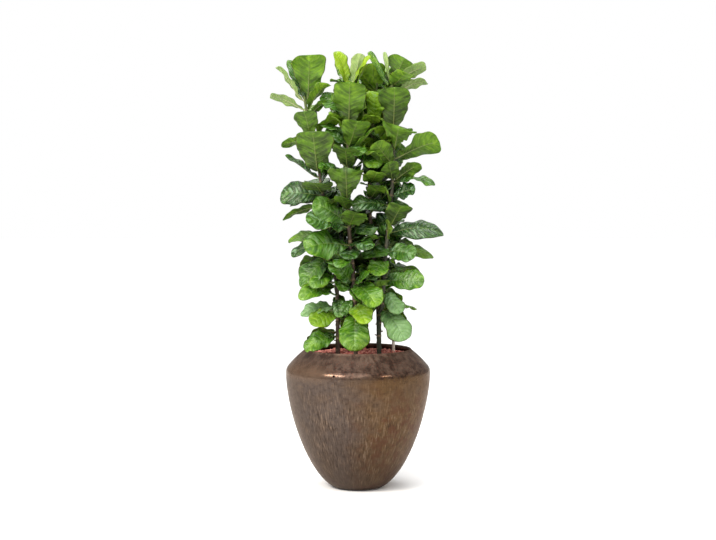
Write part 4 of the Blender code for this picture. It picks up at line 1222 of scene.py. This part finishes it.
# %% The crown's outline and gaps
# Gaps that stay open in the front view: two ends (right, height) and a half-width, in mm
GAPS = np.array([
    (20, 1088, -16, 984, 11), (-118, 1216, -114, 1236, 6), (-62, 1172, -86, 1210, 9),
    (-98, 1166, -72, 1116, 7), (-93, 1076, -88, 1056, 9), (62, 941, 82, 941, 7), (153, 1090, 173, 1098, 5),
    (66, 806, 70, 824, 9), (-92, 708, -90, 724, 7), (-44, 668, -46, 650, 11), (-37, 612, -37, 624, 6),
    (52, 500, 52, 592, 12), (98, 490, 98, 530, 14), (-124, 1284, -106, 1304, 9),
    (-153, 1330, -120, 1362, 8), (-95, 1386, -92, 1480, 9), (-28, 1470, -28, 1500, 8),
    (122, 682, 156, 682, 8), (-130, 640, -102, 640, 8), (-80, 560, -80, 480, 12),
], float)
EDGES = np.array([  # height, left and right edge of the crown's closed part
    (500, -60, 40), (560, -110, 100), (640, -130, 120), (700, -155, 150), (800, -150, 150),
    (900, -150, 175), (1000, -165, 165), (1100, -150, 165), (1200, -165, 180), (1300, -190, 172),
    (1400, -190, 190), (1480, -190, 190),
])
LOWEST, HIGHEST = 500, 1480  # mm, between which the inner leaves stay
DEEPEST = 225  # mm in front of or behind the middle
MOST_CROSSED = 0.3
MOST_HIDDEN = 0.2


def in_gap(right, up):
    """True where a point of the front view lies within any gap: nearer to its middle line than its
    half-width."""
    start, way, wide = GAPS[:, None, :2], GAPS[:, None, 2:4] - GAPS[:, None, :2], GAPS[:, 4:]
    apart = np.column_stack([right, up])[None] - start
    share = np.clip((apart * way).sum(-1) / np.maximum((way**2).sum(-1), 1), 0, 1)
    return (np.linalg.norm(apart - share[..., None] * way, axis=-1) < wide).any(0)


def in_crown(right, up, margin=0):
    """True where a point of the front view lies between the crown's edges, a margin inside them."""
    return ((right > np.interp(up, EDGES[:, 0], EDGES[:, 1]) + margin)
            & (right < np.interp(up, EDGES[:, 0], EDGES[:, 2]) - margin))


def welcome(points):
    """How welcome a leaf is there, or -1 where it may not be: in a gap, outside the crown, through other
    leaves or in front of those that the rows describe."""
    right, up = seen_from_front(points)
    if not in_crown(right, up).all() or up.min() < LOWEST or up.max() > HIGHEST:
        return -1
    if np.abs(points[:, 1]).max() > DEEPEST or in_gap(right, up).any():
        return -1
    crossed = room[blocks(points)].mean()
    seen = front_cells(points)
    before = nearest[seen]
    hiding = (points[:, 1] < before - 3)[np.isfinite(before)].mean() if np.isfinite(before).any() else 0
    if crossed > MOST_CROSSED or hiding > MOST_HIDDEN:
        return -1
    return (np.isinf(before) * wish[seen]).mean() + 0.7 - 2 * crossed - hiding


# %% Growing one leaf
TRIES = 12
FIDDLE_FROM = 1020  # height above which inner leaves are fiddle-shaped
PAINTED_LIGHT_FROM = 1000  # height above which inner leaves get painted light, a lighter tone by this much
INNER_PAINTED_LIGHT = 0.36
chance = np.random.default_rng(5)
inner = {}


def inner_row(stem, height, turn, lift, length):
    """A row like those of the table: the leaf reaches out at this turn about the stem, rising by lift times
    its length. A rising leaf turns its upper face to the stem, and a hanging one turns it outwards."""
    away = np.array([math.cos(turn), -math.sin(turn)])
    flat = math.sqrt(1 - lift**2)
    face = (*(-away * (1.1 * lift) + chance.uniform(-0.4, 0.4, 2)), flat)
    reach = (*(away * (length * flat)), length * lift)
    width, arch, fold = length * chance.uniform(0.62, 0.82), chance.uniform(0.02, 0.14), chance.uniform(4, 26)
    return stem, height, reach, width, face, arch, fold, "fiddle" if height > FIDDLE_FROM else "round"


def grow_best(draw, judge, least, shifts, painted_light=INNER_PAINTED_LIGHT):
    """Tries a few leaves that draw gives. The one that judge finds best, if it is above least, is made with
    more rows, takes its room and joins the others of its stem. Its tone is shifted at random, and above a
    height made lighter by painted light."""
    best, found = least, None
    for _ in range(TRIES):
        drawn = draw()
        if drawn is None:
            continue
        row = inner_row(*drawn)
        seed = int(chance.integers(1 << 30))
        worth = judge(leaf_tubes(row, 0, ROUGH, np.random.default_rng(seed))[0][0][0] / MM)
        if worth > best:
            best, found = worth, (row, seed)
    if found:
        row, seed = found
        tone = tone_and_shade_at(row[1], chance.uniform(*shifts) + painted_light * (row[1] > PAINTED_LIGHT_FROM))
        made = leaf_tubes(row, tone, COARSE, np.random.default_rng(seed))
        take_room(made[0][0][0] / MM)
        inner.setdefault(row[0], []).append(made)


# %% Leaves in a spiral
GOLDEN_ANGLE = 137.5
LOWEST_JOINT = 545
INNER_STEP = 11.0  # mm of stem for each place tried


def spiral_leaf(stem, number, height):
    """A leaf near its turn of the spiral. The higher it grows, the more likely it rises."""
    turn = math.radians(number * GOLDEN_ANGLE) + chance.uniform(-1.3, 1.3)
    rises = chance.uniform() < np.clip((height - 700) / 450, 0.1, 0.95)
    lift = chance.uniform(0.45, 0.9) if rises else chance.uniform(-0.7, -0.15)
    return stem, height, turn, lift, chance.uniform(90, 150)


for stem, (_, _, knots) in STEMS.items():
    for number, height in enumerate(np.arange(LOWEST_JOINT, knots[-1][2] - 10, INNER_STEP)):
        grow_best(lambda: spiral_leaf(stem, number, height), welcome, 0, (-0.15, 0.1))
print({stem: len(found) for stem, found in inner.items()}, "leaves in spirals")

# %% [markdown]
# What is still open is closed leaf by leaf: a hole is picked, and leaves are tried whose middle lies in it.
# Last come leaves that reach far back: of a few at each height, the one that stands out most from the rest.

# %% Leaves in holes and at the back
HOLES = 160  # tries at closing a hole that is left
HOLE_WORTH = 0.25
HOLE_MARGIN = 8
MIDDLE = 0.57  # how far along a leaf its middle lies, the petiole included
BACK_STEP = 40.0  # mm of stem between leaves that reach far back
BACK_LEAST = 130.0  # mm behind the middle that their tips must reach
RISING_FROM = 950  # height above which they rise


def hole_leaf():
    """A leaf whose middle lies in the picked hole, from a stem that it can reach."""
    stem = names[chance.integers(len(names))]
    length = chance.uniform(80, 155)
    lift = chance.uniform(-0.7, 0.9)
    height = up[cell] - MIDDLE * lift * length
    if not LOWEST_JOINT - 5 < height < STEMS[stem][2][-1][2] - 5:
        return None
    sideways = (right[cell] - stem_centre(stem, height)[0, 0]) / MIDDLE / length
    if sideways**2 + lift**2 > 0.98:
        return None
    turn = math.acos(sideways / math.sqrt(1 - lift**2)) * chance.choice((-1, 1))
    return stem, height, turn, lift, length


def back_leaf(stem, height):
    """A long leaf that points back, rising where the stem is high."""
    turn = math.radians(90) + chance.uniform(-0.9, 0.9)
    lift = chance.uniform(0.2, 0.7) if height > RISING_FROM else chance.uniform(-0.6, 0.1)
    return stem, height, turn, lift, chance.uniform(140, 190)


def reach_back(points):
    """How far back a leaf reaches (mm), or -1 where it may not be."""
    reach = points[:, 1].max()
    return reach if reach > BACK_LEAST and welcome(points) >= 0 else -1


right, up = np.meshgrid(*((np.arange(count) + 0.5) * FRONT_CELL + start
                          for count, start in zip(nearest.shape, FRONT_FROM)), indexing="ij")
closed = in_crown(right, up, HOLE_MARGIN) & (up > LOWEST + 60) & (up < HIGHEST - 40)
closed &= ~in_gap(right.ravel(), up.ravel()).reshape(right.shape)
names = list(STEMS)
for _ in range(HOLES):
    open_cells = np.argwhere(np.isinf(nearest) & closed)
    if not len(open_cells):
        break
    cell = tuple(open_cells[chance.integers(len(open_cells))])
    grow_best(hole_leaf, welcome, HOLE_WORTH, (-0.15, 0.1))
for stem in names:
    for height in np.arange(590, STEMS[stem][2][-1][2] - 25, BACK_STEP):
        grow_best(lambda: back_leaf(stem, height), reach_back, BACK_LEAST, (-0.1, 0.2), 0)
print({stem: len(found) for stem, found in inner.items()}, "inner leaves")

# %% Groups of inner leaves
GROUP_SIZE = 8

for stem, found in inner.items():
    for group, first in enumerate(range(0, len(found), GROUP_SIZE)):
        tubes, charts, values = zip(*found[first:first + GROUP_SIZE])
        values = {key: np.concatenate([leaf[key] for leaf in values]) for key in ("underside", "tone")}
        name = f"{stem.replace('_stem', '')}_inner_leaves_{group + 1}"
        piece = make_piece(name, sum(tubes, []), FINISHES["mature"], values, np.concatenate(charts))
        leaf_triangles += triangle_count(piece)
print(leaf_triangles, "triangles in all leaves")

# %% [markdown]
# ## Floor, light and camera
# The floor is a plain pale disc. Light comes as in a product studio: a white room all round, a large soft
# box above the front left, a weaker one to the right, and a broad one overhead that puts the grey sheen on
# the waxed leaves. The camera stands at eye height, far enough back to keep the stems upright.

# %% Floor
def studio_floor():
    """Painted studio floor, matt off-white."""
    made, _, _ = new_finish("floor paint, off-white", {"Base Color": linear("#ffffff"), "Roughness": 0.9})
    return made


bpy.ops.mesh.primitive_circle_add(vertices=96, radius=30, fill_type="NGON", location=(0, 0, -0.0005))
floor = bpy.context.object
floor.name = "studio_floor"
floor.data.materials.append(studio_floor())

# %% Lights
scene = bpy.context.scene


def aimed(name, data, place, toward):
    """A lamp or camera at a place (metres) that looks in a direction, added to the scene."""
    item = bpy.data.objects.new(name, data)
    item.location = place
    item.rotation_euler = Vector(toward).to_track_quat("-Z", "Y").to_euler()
    scene.collection.objects.link(item)
    return item


# Name, place, height of the point that it faces on the plant's axis, width and height, power and colour
for name, place, aim, size, power, colour in (
        ("key_left", (-2.3, -2.6, 3.0), 0.9, (2.0, 0.9), 150, "#fff6ea"),
        ("fill_right", (2.8, -2.6, 2.6), 0.7, (0.9, 0.5), 30, "#fff0dc"),
        ("overhead", (0.2, 1.0, 3.9), 1.0, (2.0, 2.0), 80, "#ffffff")):
    lamp = bpy.data.lights.new(name, "AREA")
    lamp.shape = "RECTANGLE"
    lamp.size, lamp.size_y = size
    lamp.energy = power
    lamp.color = linear(colour)[:3]
    aimed(name, lamp, place, np.array([0, 0, aim]) - place)
sky = bpy.data.lights.new("broad_soft_light", "SUN")
sky.energy = 2.35
sky.angle = math.radians(60)
aimed("broad_soft_light", sky, (0, 0, 0), (0.36, 0.8, -0.9))
world = bpy.data.worlds.new("white_room")
world.use_nodes = True
paper = world.node_tree.nodes["Background"]
seen = add(world.node_tree, "LightPath").outputs["Is Camera Ray"]
strength = add(world.node_tree, "MapRange", None, (seen, 0, 1, 0.58, 1))
wire(world.node_tree, paper, {"Color": (1, 1, 1, 1), "Strength": strength})
scene.world = world
scene.view_settings.view_transform = "Standard"

# %% Camera
camera = bpy.data.cameras.new("camera")
camera.lens = 70
camera.sensor_width = 36
viewpoint = Vector((0, -EYE_DISTANCE * MM, EYE_HEIGHT * MM))
scene.camera = aimed("camera", camera, viewpoint, Vector((0, 0, 0.752)) - viewpoint)
print("camera at", [round(v, 3) for v in viewpoint], "m")
